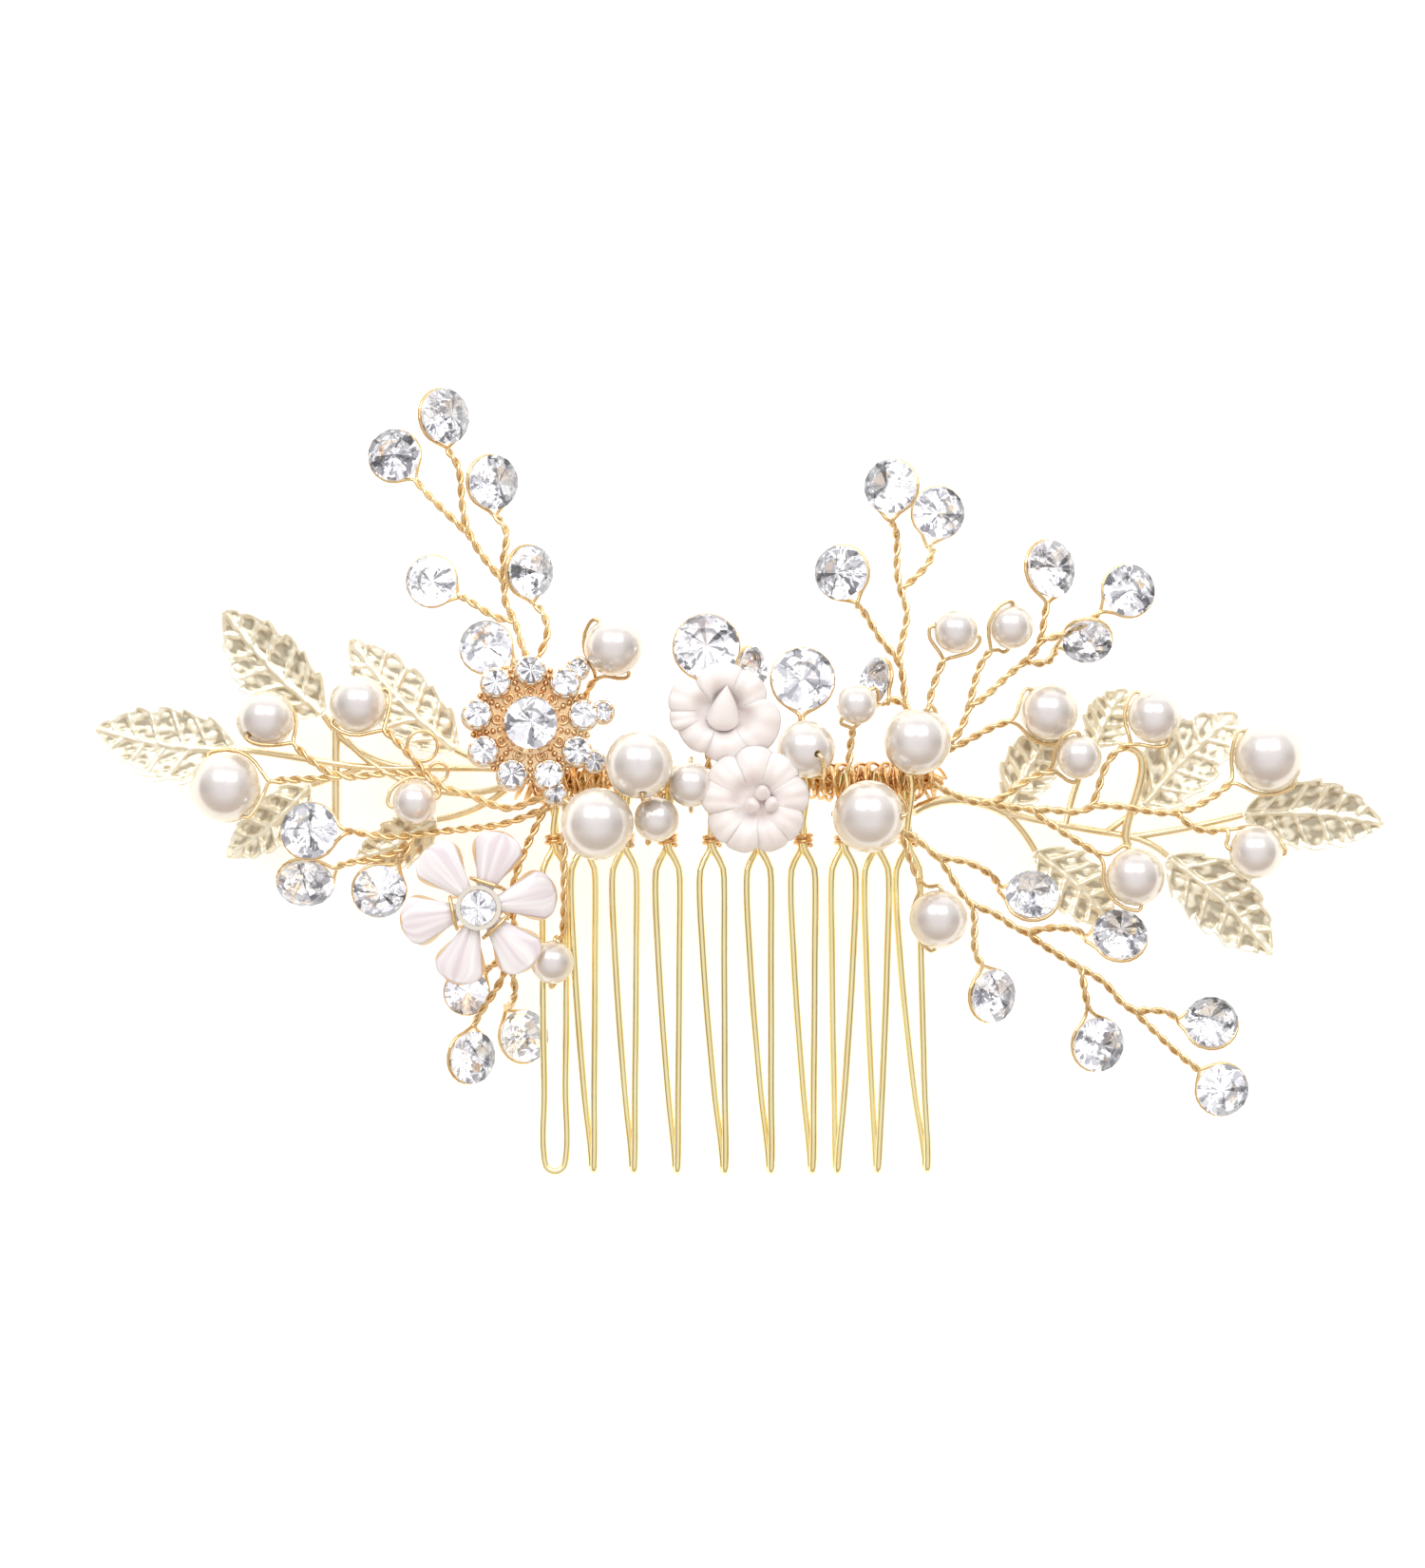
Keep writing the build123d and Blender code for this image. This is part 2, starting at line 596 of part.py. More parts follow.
def leaf(base_x, base_z, tip_x, tip_z, behind, width, roll):
    """A stamped leaf blank with a toothed edge, as a thin plate."""
    base = place(base_x, base_z, -behind)
    tip = place(tip_x, tip_z, -behind)
    length = (tip - base).length
    notches = 7
    upper = [(0.0, 0.12)]
    for i in range(1, 2 * notches):
        t = i / (2 * notches)
        half = width / 2 * math.sin(math.pi * t ** 0.8) ** 0.8
        if i % 2:
            half *= 0.9
        upper.append((length * t, half))
    lower = [(x, -y) for x, y in upper[::-1]]
    outline = Polyline(*upper, (length, 0.0), *lower, close=True)
    flat = Plane(origin=base, x_dir=(tip - base).normalized(), z_dir=leaf_normal(tip - base, roll))
    return extrude(flat * make_face(outline), LEAF_THICKNESS)


def leaf_normal(along, roll):
    """The facing direction of a leaf rolled about its midrib, square to it."""
    along = along.normalized()
    facing = Vector(0, -1, 0) - along * Vector(0, -1, 0).dot(along)
    facing = facing.normalized()
    turned = math.radians(roll)
    return facing * math.cos(turned) + along.cross(facing) * math.sin(turned)


def stem_wire(points, radius):
    """A plain round stem through x, z points, at a given distance behind the spine line."""
    return tube([place(x, z, -behind) for x, z, behind in points], radius)


def leaf_stems_left():
    return [
        stem_wire(((-20.5, 0.6, 1.0), (-28.0, 1.4, 2.0), (-36.1, 1.4, 2.9), (-42.0, 1.6, 3.2),
                   (-48.8, 2.6, 3.2), (-56.0, 3.5, 3.2)), LEAF_WIRE_RADIUS),
        stem_wire(((-26.0, -0.6, 1.6), (-33.0, -1.2, 2.7), (-39.5, 1.2, 3.1), (-43.6, 4.6, 3.4)),
                  LEAF_WIRE_RADIUS),
        stem_wire(((-37.5, 1.6, 3.1), (-42.0, 3.2, 3.4), (-46.2, 7.4, 3.4)), LEAF_WIRE_RADIUS),
        stem_wire(((-27.0, 1.4, 2.0), (-31.2, 3.4, 4.2)), LEAF_WIRE_RADIUS),
        stem_wire(((-42.0, 1.4, 3.3), (-47.5, -0.4, 4.2)), LEAF_WIRE_RADIUS),
        stem_wire(((-24.0, 0.6, 1.4), (-28.0, -2.6, 2.2), (-33.3, -4.3, 2.5)), LEAF_WIRE_RADIUS),
        stem_wire(((-44.8, 7.6, 3.4), (-44.8, -4.6, 3.4)), LEAF_BAR_RADIUS),
    ]


def leaf_stems_right():
    return [
        stem_wire(((19.8, -3.4, 1.0), (22.8, -2.2, 1.6), (26.6, -2.2, 2.2), (30.4, -3.6, 2.7)),
                  LEAF_ARM_RADIUS),
        stem_wire(((29.6, -3.3, 2.7), (36.1, -4.8, 2.8), (41.8, -5.8, 2.8), (45.2, -6.5, 2.8),
                   (48.5, -8.4, 2.8)), LEAF_WIRE_RADIUS),
        stem_wire(((44.0, -6.3, 2.8), (50.0, -5.4, 3.0), (57.0, -3.8, 3.2)), LEAF_WIRE_RADIUS),
        stem_wire(((30.0, -3.4, 2.8), (32.0, -5.4, 3.2), (33.6, -7.8, 3.4)), LEAF_WIRE_RADIUS),
        stem_wire(((41.6, -5.7, 2.8), (45.6, -2.9, 3.0)), LEAF_WIRE_RADIUS),
        stem_wire(((28.6, -3.0, 2.7), (30.4, -3.0, 3.2)), LEAF_WIRE_RADIUS),
        stem_wire(((37.0, -4.9, 2.8), (38.4, 0.0, 3.2), (40.0, 3.7, 3.2)), LEAF_WIRE_RADIUS),
        stem_wire(((43.0, 3.9, 2.2), (45.3, 3.0, 2.2), (45.2, -0.8, 2.2), (44.2, -7.4, 2.2)),
                  LEAF_BAR_RADIUS),
    ]


def clay_flower(x, z, front, radius, petals, turn):
    """A hand-formed clay flower: overlapping petal pads round a cupped middle."""
    body = Pos(0, 0, 0.7) * Cylinder(radius * 0.42, 1.4)
    for i in range(petals):
        pad = Cylinder(radius * 0.36, 0.9)
        lean = Pos(radius * 0.56, 0, 1.7) * Rot(0, -26, 0) * pad
        body = body + Rot(0, 0, turn + 360 * i / petals) * lean
    frame = Plane(origin=place(x, z, front), z_dir=(0, -1, 0))
    return frame * body


def flower_shank(x, z, front):
    """The twisted wire that holds a flower's back to the spine."""
    up, down = twisted_pair([place(x, z * 0.4, 1.7), place(x, z * 0.7, front - 0.2)])
    bend = [(up[-1] + down[0]) / 2 + Vector(0, -0.3, 0)]
    return tube(up + bend + down, WIRE_RADIUS)


def petal_outline(length, half_width):
    """A rounded triangular petal, its narrow end at the middle of the flower."""
    neck = 0.24 * half_width
    widest = 0.8 * length
    side = [(1.7, neck), (0.5 * length, 0.62 * half_width), (widest, half_width)]
    end = [(length, 0.42 * half_width), (length, -0.42 * half_width)]
    other = [(x, -y) for x, y in side[::-1]]
    return make_face([
        Spline(*side, *end, *other),
        Line(other[-1], side[0]),
    ])


def shell_frame():
    return Plane(origin=place(-28.4, -14.0, SHELL_FRONT), x_dir=(1, 0, 0), z_dir=(0, -1, 0))


def shell_base():
    """The gold backing plate of the shell flower, one lobe behind each petal."""
    plate = extrude(Circle(2.5), 0.5)
    for angle in SHELL_PETAL_ANGLES:
        lobe = extrude(petal_outline(8.6, SHELL_PETAL_HALF_WIDTH + 0.2), 0.5)
        plate = plate + Rot(0, 0, angle) * lobe
    return shell_frame() * plate


def shell_petals():
    """Six pearly inlays that lie on the backing plate."""
    inlay = Pos(0, 0, 0.53) * extrude(petal_outline(8.35, SHELL_PETAL_HALF_WIDTH), 0.6)
    return [shell_frame() * Rot(0, 0, angle) * inlay for angle in SHELL_PETAL_ANGLES]


def shell_centre_ring():
    ring = Pos(0, 0, 1.55) * (Cylinder(2.5, 0.7) - Cylinder(2.02, 1.0))
    return shell_frame() * ring


def shell_centre_stone():
    return shell_frame() * Pos(0, 0, 2.9) * gem(3.9)


def brooch_frame():
    tilt = Vector(0.05, -1, 0.1).normalized()
    return Plane(origin=place(-22.8, 6.1, 3.2), x_dir=(1, 0, 0.0), z_dir=tilt)


def brooch_seats():
    """Where the small stones sit round the middle stone: angle, distance, diameter."""
    inner = [(40 * i + 10, 6.0, 2.8) for i in range(9)]
    outer = [(50 - 40 * i, 8.2, 2.0) for i in range(4)]
    return inner + outer


def brooch_base():
    """The cast setting: a lobed plate with a raised seat under each stone."""
    body = extrude(Circle(6.4), 0.8)
    for angle, reach, size in brooch_seats():
        spot = Rot(0, 0, angle) * Pos(reach, 0, 0)
        body = body + spot * extrude(Circle(size / 2 + 0.35), 1.4)
    ring = extrude(Circle(3.35) - Circle(2.5), 1.5)
    return brooch_frame() * (body + Pos(0, 0, 0.7) * ring)


def brooch_stones():
    """The faceted stones of the setting, large in the middle."""
    stones = [brooch_frame() * Pos(0, 0, 3.55) * gem(5.9)]
    for angle, reach, size in brooch_seats():
        spot = Rot(0, 0, angle) * Pos(reach, 0, 1.43 + 0.43 * size)
        stones.append(brooch_frame() * spot * gem(size))
    return stones


def tie(points, radius=WIRE_RADIUS):
    """A short binding wire through x, z points, at given distances in front of the spine."""
    return tube([place(x, z, front) for x, z, front in points], radius)


def neck_crossing(angle):
    """A tie that comes up beside a petal of the shell flower and crosses its narrow neck."""
    frame = shell_frame()
    behind = 1.8 - SHELL_FRONT
    left = math.radians(angle - 30)
    right = math.radians(angle + 30)
    middle = math.radians(angle)
    reach = 3.3
    points = [Vector(3.4, 1.2, behind)]
    for height in (-3.0, -0.6, 1.3):
        points.append(Vector(reach * math.cos(left), reach * math.sin(left), height))
    points.append(Vector(2.9 * math.cos(middle), 2.9 * math.sin(middle), 1.85))
    for height in (1.3, -0.6, -3.0):
        points.append(Vector(reach * math.cos(right), reach * math.sin(right), height))
    points.append(Vector(3.4, -1.2, behind))
    return tube([frame.from_local_coords(p) for p in points], WIRE_RADIUS)


def ornament_ties():
    """The wires over the shell flower's petal necks and those that hold the cast setting."""
    crossings = [neck_crossing(angle) for angle in SHELL_PETAL_ANGLES[1::2]]
    posts = [
        tie(((-21.5, 1.2, 1.2), (-22.3, 4.0, 1.8), (-22.8, 6.0, 3.0))),
        tie(((-19.5, 1.2, 1.2), (-20.2, 3.6, 1.8), (-20.8, 5.4, 3.0))),
    ]
    return crossings + posts


def jump_rings():
    """Two small rings fixed to the back of the left spray's twisted wire."""
    rings = []
    for x, z, size in ((-34.9, 3.9, 1.7), (-33.1, 1.0, 1.05)):
        frame = Plane(origin=place(x, z, 1.25), z_dir=(0, -1, 0))
        rings.append(frame * Torus(size, 0.2))
    return rings


def save(name, solids):
    if isinstance(solids, (list, tuple)):
        solids = Compound(children=[Part(s.wrapped) if isinstance(s, Solid) else s for s in solids])
    export_step(solids, f"parts/{name}.step")


def main():
    os.makedirs("parts", exist_ok=True)
    save("comb_teeth", [tooth(x, tip_x) for x, tip_x in zip(TOOTH_TOP_X, TOOTH_TIP_X)])
    save("spine_wire", spine_strands())
    save("binding_wire", binding())
    save("neck_ties", [neck_knot(x) for x in TOOTH_TOP_X])
    for name in PEARLS:
        save(name, pearl(name))
    for group, stones in CRYSTALS.items():
        save(group, [crystal_frame(key) * gem(stones[key][3]) for key in stones])
    save("crystal_cups", [crystal_frame(k) * cup(v[3]) for k, v in ALL_CRYSTALS.items()])
    for name, wires in sprigs().items():
        save(name, wires)
    save("bar_bead_wires", bar_bead_wires())
    save("centre_crystal_wires", centre_crystal_wires())
    save("leaves_left", [leaf(*row) for row in LEAVES_LEFT])
    save("leaves_right", [leaf(*row) for row in LEAVES_RIGHT])
    save("leaf_stems_left", leaf_stems_left())
    save("leaf_stems_right", leaf_stems_right())
    save("upper_clay_flower", clay_flower(-1.6, 7.6, 3.2, 5.6, 5, 20))
    save("lower_clay_flower", clay_flower(2.2, -2.4, 4.6, 5.8, 8, 0))
    save("flower_shanks", [flower_shank(-1.6, 7.6, 3.0), flower_shank(2.2, -2.4, 4.4)])
    save("shell_flower_base", shell_base())
    save("shell_flower_petals", shell_petals())
    save("shell_flower_ring", shell_centre_ring())
    save("shell_flower_stone", shell_centre_stone())
    save("brooch_base", brooch_base())
    save("brooch_stones", brooch_stones())
    save("ornament_ties", ornament_ties())
    save("jump_rings", jump_rings())


main()
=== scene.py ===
import math

import bpy
import numpy as np
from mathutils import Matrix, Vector


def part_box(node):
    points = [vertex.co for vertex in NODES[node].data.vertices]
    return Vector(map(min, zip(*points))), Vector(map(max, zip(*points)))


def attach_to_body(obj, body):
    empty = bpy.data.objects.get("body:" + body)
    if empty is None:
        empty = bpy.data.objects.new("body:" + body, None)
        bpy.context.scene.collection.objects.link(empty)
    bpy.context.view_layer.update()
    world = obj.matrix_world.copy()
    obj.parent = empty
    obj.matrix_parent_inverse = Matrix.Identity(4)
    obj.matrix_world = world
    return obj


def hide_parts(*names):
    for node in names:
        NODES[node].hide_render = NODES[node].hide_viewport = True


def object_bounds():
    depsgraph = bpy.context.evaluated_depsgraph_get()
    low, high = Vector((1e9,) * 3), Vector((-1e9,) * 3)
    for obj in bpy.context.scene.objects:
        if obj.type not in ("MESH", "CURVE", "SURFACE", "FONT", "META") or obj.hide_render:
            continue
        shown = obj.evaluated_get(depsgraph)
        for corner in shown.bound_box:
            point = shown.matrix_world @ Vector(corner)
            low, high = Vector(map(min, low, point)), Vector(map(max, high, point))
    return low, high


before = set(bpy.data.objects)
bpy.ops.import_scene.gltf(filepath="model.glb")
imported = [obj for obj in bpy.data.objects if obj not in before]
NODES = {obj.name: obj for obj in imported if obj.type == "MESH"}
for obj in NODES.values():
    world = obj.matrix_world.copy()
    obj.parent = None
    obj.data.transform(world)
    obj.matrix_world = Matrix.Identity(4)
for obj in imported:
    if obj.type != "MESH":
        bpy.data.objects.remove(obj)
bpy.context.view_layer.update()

MM = 0.001
SHOW_SIDE = np.array((0.0, -1.0, 0.0))
WELD_DIGITS = 7    # vertices closer than this decimal of a metre count as one


# ---------------------------------------------------------------- materials

# Ramps as (position, linear colour)
# leaf: its pale gold, darkening into painted shade for the stamped recesses
LEAF_GOLD_AND_SHADE = ((0.2, (1.0, 0.96, 0.80)), (0.5, (0.91, 0.82, 0.62)), (0.9, (0.52, 0.46, 0.34)))
# pearl: its mauve-grey body, turning to a painted warm cream sheen at the rim
PEARL_BODY_AND_RIM_SHEEN = ((0.0, (0.76, 0.72, 0.73)), (0.3, (0.78, 0.73, 0.69)),
              (0.65, (0.88, 0.80, 0.65)), (0.92, (0.94, 0.85, 0.67)))
PEARL_CLOUD = ((0.35, (0.92, 0.92, 0.92)), (0.65, (1, 1, 1)))
# foil: greys painted as facet reflections, also used for the foil's painted glow
PAINTED_FACET_GREYS = ((0.0, (0.16, 0.16, 0.17)), (0.14, (0.34, 0.34, 0.37)), (0.3, (0.70, 0.70, 0.74)),
              (0.5, (0.90, 0.90, 0.92)), (1.0, (1.0, 1.0, 1.0)))
GIRDLE_GREYS = ((0.35, (0.52, 0.52, 0.54)), (0.65, (0.82, 0.82, 0.83)))
CLAY_TINT = ((0.3, (0.79, 0.73, 0.72)), (0.7, (0.84, 0.80, 0.795)))
SHELL_STREAKS = ((0.32, (0.72, 0.64, 0.69)), (0.5, (0.82, 0.78, 0.81)),
                 (0.66, (0.89, 0.88, 0.90)))
ROOM = ((0.0, (0.58, 0.45, 0.33)), (0.3, (0.62, 0.50, 0.38)), (0.47, (0.27, 0.22, 0.17)),
        (0.58, (0.44, 0.41, 0.37)), (0.8, (0.95, 0.95, 0.95)), (1.0, (1.0, 1.0, 1.0)))

# Gold platings: pale tint, deep tint, roughness and grains per metre
PLATINGS = {
    "comb": ("comb_gold", (1.0, 0.90, 0.56), (0.98, 0.83, 0.44), 0.2, 900.0),
    "wire": ("sprig_gold", (0.94, 0.76, 0.46), (0.73, 0.50, 0.25), 0.22, 900.0),
    "stem": ("stem_gold", (0.98, 0.87, 0.62), (0.86, 0.68, 0.40), 0.22, 900.0),
    "binding": ("binding_gold", (0.93, 0.66, 0.34), (0.78, 0.44, 0.18), 0.22, 900.0),
    "cast": ("cast_gold", (1.0, 0.81, 0.55), (0.80, 0.46, 0.21), 0.2, 1800.0),
    "cup": ("cup_metal", (0.93, 0.90, 0.84), (0.90, 0.84, 0.72), 0.14, 900.0),
}


def new_material(name):
    """An empty node material, its tree and its output node."""
    material = bpy.data.materials.new(name)
    material.use_nodes = True
    tree = material.node_tree
    tree.nodes.clear()
    output = tree.nodes.new("ShaderNodeOutputMaterial")
    return material, tree, output


def add(tree, kind, **inputs):
    """A shader node with its named inputs set; an input given as a socket is linked."""
    node = tree.nodes.new(kind)
    for key, value in inputs.items():
        socket = node.inputs[key.replace("_", " ")]
        if isinstance(value, bpy.types.NodeSocket):
            tree.links.new(value, socket)
        else:
            socket.default_value = value
    return node


def surface(tree, output, **inputs):
    """The principled shader that a material ends in."""
    shader = add(tree, "ShaderNodeBsdfPrincipled", **inputs)
    tree.links.new(shader.outputs[0], output.inputs["Surface"])
    return shader


def attribute(tree, name):
    node = tree.nodes.new("ShaderNodeAttribute")
    node.attribute_name = name
    return node


def object_position(tree):
    return tree.nodes.new("ShaderNodeTexCoord").outputs["Object"]


def ramp(tree, factor, stops):
    """A colour ramp over a factor; stops are (position, colour)."""
    node = tree.nodes.new("ShaderNodeValToRGB")
    tree.links.new(factor, node.inputs["Fac"])
    elements = node.color_ramp.elements
    while len(elements) < len(stops):
        elements.new(0.5)
    for element, (position, colour) in zip(elements, stops):
        element.position = position
        element.color = (*colour, 1.0)
    return node.outputs["Color"]


def noise(tree, scale, detail=3.0, roughness=0.5):
    """Noise over the object's own position, scale in waves per metre."""
    node = add(tree, "ShaderNodeTexNoise", Vector=object_position(tree), Scale=scale,
               Detail=detail, Roughness=roughness)
    return node.outputs["Fac"]


def math_node(tree, operation, first, second):
    node = tree.nodes.new("ShaderNodeMath")
    node.operation = operation
    tree.links.new(first, node.inputs[0])
    if isinstance(second, bpy.types.NodeSocket):
        tree.links.new(second, node.inputs[1])
    else:
        node.inputs[1].default_value = second
    return node.outputs[0]


def bump(tree, height, distance, strength=1.0):
    node = add(tree, "ShaderNodeBump", Height=height, Distance=distance, Strength=strength)
    return node.outputs["Normal"]


def gold_material(name, pale, deep, roughness, grain):
    """Plated metal: its tint wanders between two golds, with a fine drawn grain."""
    material, tree, output = new_material(name)
    tint = ramp(tree, noise(tree, 160.0), ((0.3, deep), (0.7, pale)))
    shine = ramp(tree, noise(tree, grain * 0.5), ((0.3, (roughness * 0.8,) * 3),
                                                  (0.7, (roughness * 1.3,) * 3)))
    normal = bump(tree, noise(tree, grain, detail=2.0), distance=0.01 * MM)
    surface(tree, output, Base_Color=tint, Metallic=1.0, Roughness=shine, Normal=normal)
    return material


def leaf_material():
    """Pale plated leaf metal with painted shade that darkens its stamped recesses."""
    material, tree, output = new_material("leaf_gold")
    depth = attribute(tree, "recess_shade").outputs["Fac"]
    # painted shade in the stamped recesses, made patchy by noise
    patchy = math_node(tree, "MULTIPLY", noise(tree, 1300.0, roughness=0.6), 0.7)
    painted_recess_shade = math_node(tree, "MULTIPLY", depth, math_node(tree, "ADD", patchy, 0.6))
    normal = bump(tree, noise(tree, 1500.0), distance=0.04 * MM, strength=0.7)
    surface(tree, output, Base_Color=ramp(tree, painted_recess_shade, LEAF_GOLD_AND_SHADE), Metallic=0.72,
            Roughness=0.28, Normal=normal, Specular_IOR_Level=0.9)
    return material


def pearl_material():
    """Pearl coating: a mauve-grey body with a painted warm cream sheen towards the rim, and a
    clear outer coat.
    """
    material, tree, output = new_material("pearl_coating")
    # the facing ramp paints a warm cream sheen on the rim
    facing = add(tree, "ShaderNodeLayerWeight", Blend=0.5).outputs["Facing"]
    mixed = add(tree, "ShaderNodeMixRGB", Fac=1.0, Color1=ramp(tree, facing, PEARL_BODY_AND_RIM_SHEEN),
                Color2=ramp(tree, noise(tree, 260.0), PEARL_CLOUD))
    mixed.blend_type = "MULTIPLY"
    normal = bump(tree, noise(tree, 700.0), distance=0.02 * MM, strength=0.4)
    surface(tree, output, Base_Color=mixed.outputs["Color"], Metallic=0.4, Roughness=0.24,
            Normal=normal, Coat_Weight=1.0, Coat_Roughness=0.06, Specular_IOR_Level=0.8)
    return material


def crystal_material():
    """Clear cut glass, for the facets of the show side."""
    material, tree, output = new_material("cut_crystal")
    surface(tree, output, Base_Color=(0.99, 0.99, 1.0, 1.0), Roughness=0.0, IOR=1.5,
            Transmission_Weight=1.0)
    return material


def foil_material():
    """The silver foil behind a crystal: wedges round its middle, each with its own painted grey
    as a facet reflection, and a painted glow in the same greys.
    """
    material, tree, output = new_material("crystal_foil")
    middle = attribute(tree, "middle").outputs["Vector"]
    offset = tree.nodes.new("ShaderNodeVectorMath")
    offset.operation = "SUBTRACT"
    tree.links.new(object_position(tree), offset.inputs[0])
    tree.links.new(middle, offset.inputs[1])
    reach = tree.nodes.new("ShaderNodeVectorMath")
    reach.operation = "LENGTH"
    tree.links.new(offset.outputs[0], reach.inputs[0])
    split = add(tree, "ShaderNodeSeparateXYZ", Vector=offset.outputs[0])
    turn = math_node(tree, "ARCTAN2", split.outputs["Z"], split.outputs["X"])
    seed = add(tree, "ShaderNodeSeparateXYZ", Vector=middle).outputs["X"]
    wedge = add(tree, "ShaderNodeCombineXYZ", X=math_node(tree, "MULTIPLY", turn, 3.0),
                Y=math_node(tree, "MULTIPLY", reach.outputs["Value"], 900.0),
                Z=math_node(tree, "MULTIPLY", seed, 3000.0))
    cells = add(tree, "ShaderNodeTexVoronoi", Vector=wedge.outputs[0], Scale=1.0)
    cells.distance = "CHEBYCHEV"
    grey = add(tree, "ShaderNodeSeparateColor", Color=cells.outputs["Color"])
    painted_facet_glow = ramp(tree, grey.outputs[0], PAINTED_FACET_GREYS)
    # painted facet reflections in the base colour, and a painted glow from emission
    surface(tree, output, Base_Color=painted_facet_glow, Metallic=1.0, Roughness=0.05, Emission_Color=painted_facet_glow,
            Emission_Strength=0.25)
    return material


def girdle_material():
    """The ground edge round a crystal, a soft silvery grey."""
    material, tree, output = new_material("crystal_girdle")
    surface(tree, output, Base_Color=ramp(tree, noise(tree, 600.0), GIRDLE_GREYS),
            Metallic=0.6, Roughness=0.3)
    return material


def clay_material():
    """Matte white clay, a little pink in patches."""
    material, tree, output = new_material("white_clay")
    normal = bump(tree, noise(tree, 1500.0, detail=4.0), distance=0.03 * MM, strength=0.5)
    shader = surface(tree, output, Base_Color=ramp(tree, noise(tree, 220.0), CLAY_TINT),
                     Roughness=0.55, Normal=normal, Subsurface_Weight=0.25,
                     Subsurface_Scale=1.0 * MM)
    shader.inputs["Subsurface Radius"].default_value = (1.0, 0.7, 0.6)
    return material


def shell_material():
    """Pearly inlay with soft streaks that run out along each petal."""
    material, tree, output = new_material("pearly_inlay")
    streak = attribute(tree, "across").outputs["Vector"]
    wave = add(tree, "ShaderNodeTexNoise", Vector=streak, Scale=1.1, Detail=1.0)
    surface(tree, output, Base_Color=ramp(tree, wave.outputs["Fac"], SHELL_STREAKS),
            Roughness=0.28, Coat_Weight=0.6, Coat_Roughness=0.08, Sheen_Weight=0.2)
    return material


def make_materials():
    materials = {key: gold_material(*plating) for key, plating in PLATINGS.items()}
    materials.update(leaf=leaf_material(), pearl=pearl_material(), crystal=crystal_material(),
                     foil=foil_material(), girdle=girdle_material(), clay=clay_material(),
                     shell=shell_material())
    return materials


# ---------------------------------------------------------------- CAD pieces that stay

# Cosines between a facet's normal and its crystal's axis that part the three kinds of facet
FOIL_BELOW = -0.25
GIRDLE_BELOW = 0.15


def wear(name, material, smooth=True):
    """Gives a CAD node one material."""
    mesh = NODES[name].data
    mesh.materials.clear()
    mesh.materials.append(material)
    mesh.polygons.foreach_set("material_index", [0] * len(mesh.polygons))
    mesh.polygons.foreach_set("use_smooth", [smooth] * len(mesh.polygons))


def vertex_spots(mesh):
    """The vertices of a mesh as rows of x, y and z."""
    spots = np.empty(len(mesh.vertices) * 3)
    mesh.vertices.foreach_get("co", spots)
    return spots.reshape(-1, 3)


def welded(points):
    """The distinct points of a solid whose faces don't share vertices."""
    return np.unique(np.round(points, WELD_DIGITS), axis=0)


def islands(mesh):
    """The separate solids of a mesh as arrays of vertex numbers, and all its vertices."""
    ends = np.empty(len(mesh.edges) * 2, dtype=np.int64)
    mesh.edges.foreach_get("vertices", ends)
    spots = vertex_spots(mesh)
    _, weld = np.unique(np.round(spots, WELD_DIGITS), axis=0, return_inverse=True)
    weld = weld.reshape(-1)
    label = np.arange(weld.max() + 1)
    pairs = weld[ends.reshape(-1, 2)]
    while True:
        low = np.minimum(label[pairs[:, 0]], label[pairs[:, 1]])
        before = label.copy()
        np.minimum.at(label, pairs[:, 0], low)
        np.minimum.at(label, pairs[:, 1], low)
        label = label[label]
        if np.array_equal(before, label):
            break
    of_vertex = label[weld]
    return [np.flatnonzero(of_vertex == key) for key in np.unique(of_vertex)], spots


def principal_axes(points):
    """The middle of some points, and their longest, middle and shortest directions."""
    middle = (points.max(axis=0) + points.min(axis=0)) / 2
    _, _, axes = np.linalg.svd(points - points.mean(axis=0), full_matrices=False)
    return middle, axes


def forward(axis):
    """The direction or its opposite, whichever points out of the show side."""
    return axis if axis[1] < 0 else -axis


def put_attribute(mesh, name, kind, values):
    """Stores one number or vector at each vertex for a material to read."""
    layer = mesh.attributes.new(name, kind, "POINT")
    field = "vector" if kind == "FLOAT_VECTOR" else "value"
    layer.data.foreach_set(field, values.reshape(-1))


def dress_crystals(name, materials):
    """Clear glass on the front facets, a ground girdle, and foil on the back facets."""
    mesh = NODES[name].data
    mesh.materials.clear()
    for key in ("crystal", "foil", "girdle"):
        mesh.materials.append(materials[key])
    groups, spots = islands(mesh)
    owner = np.empty(len(mesh.vertices), dtype=int)
    axes = []
    middles = np.empty((len(mesh.vertices), 3))
    for number, group in enumerate(groups):
        owner[group] = number
        middles[group], directions = principal_axes(welded(spots[group]))
        axes.append(forward(directions[2]))
    put_attribute(mesh, "middle", "FLOAT_VECTOR", middles)
    for polygon in mesh.polygons:
        facing = np.dot(polygon.normal, axes[owner[polygon.vertices[0]]])
        polygon.use_smooth = False
        polygon.material_index = 1 if facing < FOIL_BELOW else 2 if facing < GIRDLE_BELOW else 0


# ---------------------------------------------------------------- new pieces

def mesh_object(name, vertices, faces, material, smooth=True):
    mesh = bpy.data.meshes.new(name)
    mesh.from_pydata([tuple(v) for v in vertices], [], faces)
    mesh.materials.append(material)
    mesh.polygons.foreach_set("use_smooth", [smooth] * len(mesh.polygons))
    mesh.update()
    piece = bpy.data.objects.new(name, mesh)
    bpy.context.scene.collection.objects.link(piece)
    return piece


def thicken(piece, name, thickness):
    """Makes a sheet into a solid, half the thickness to either side."""
    solid = piece.modifiers.new(name, "SOLIDIFY")
    solid.thickness = thickness * MM
    solid.offset = 0.0


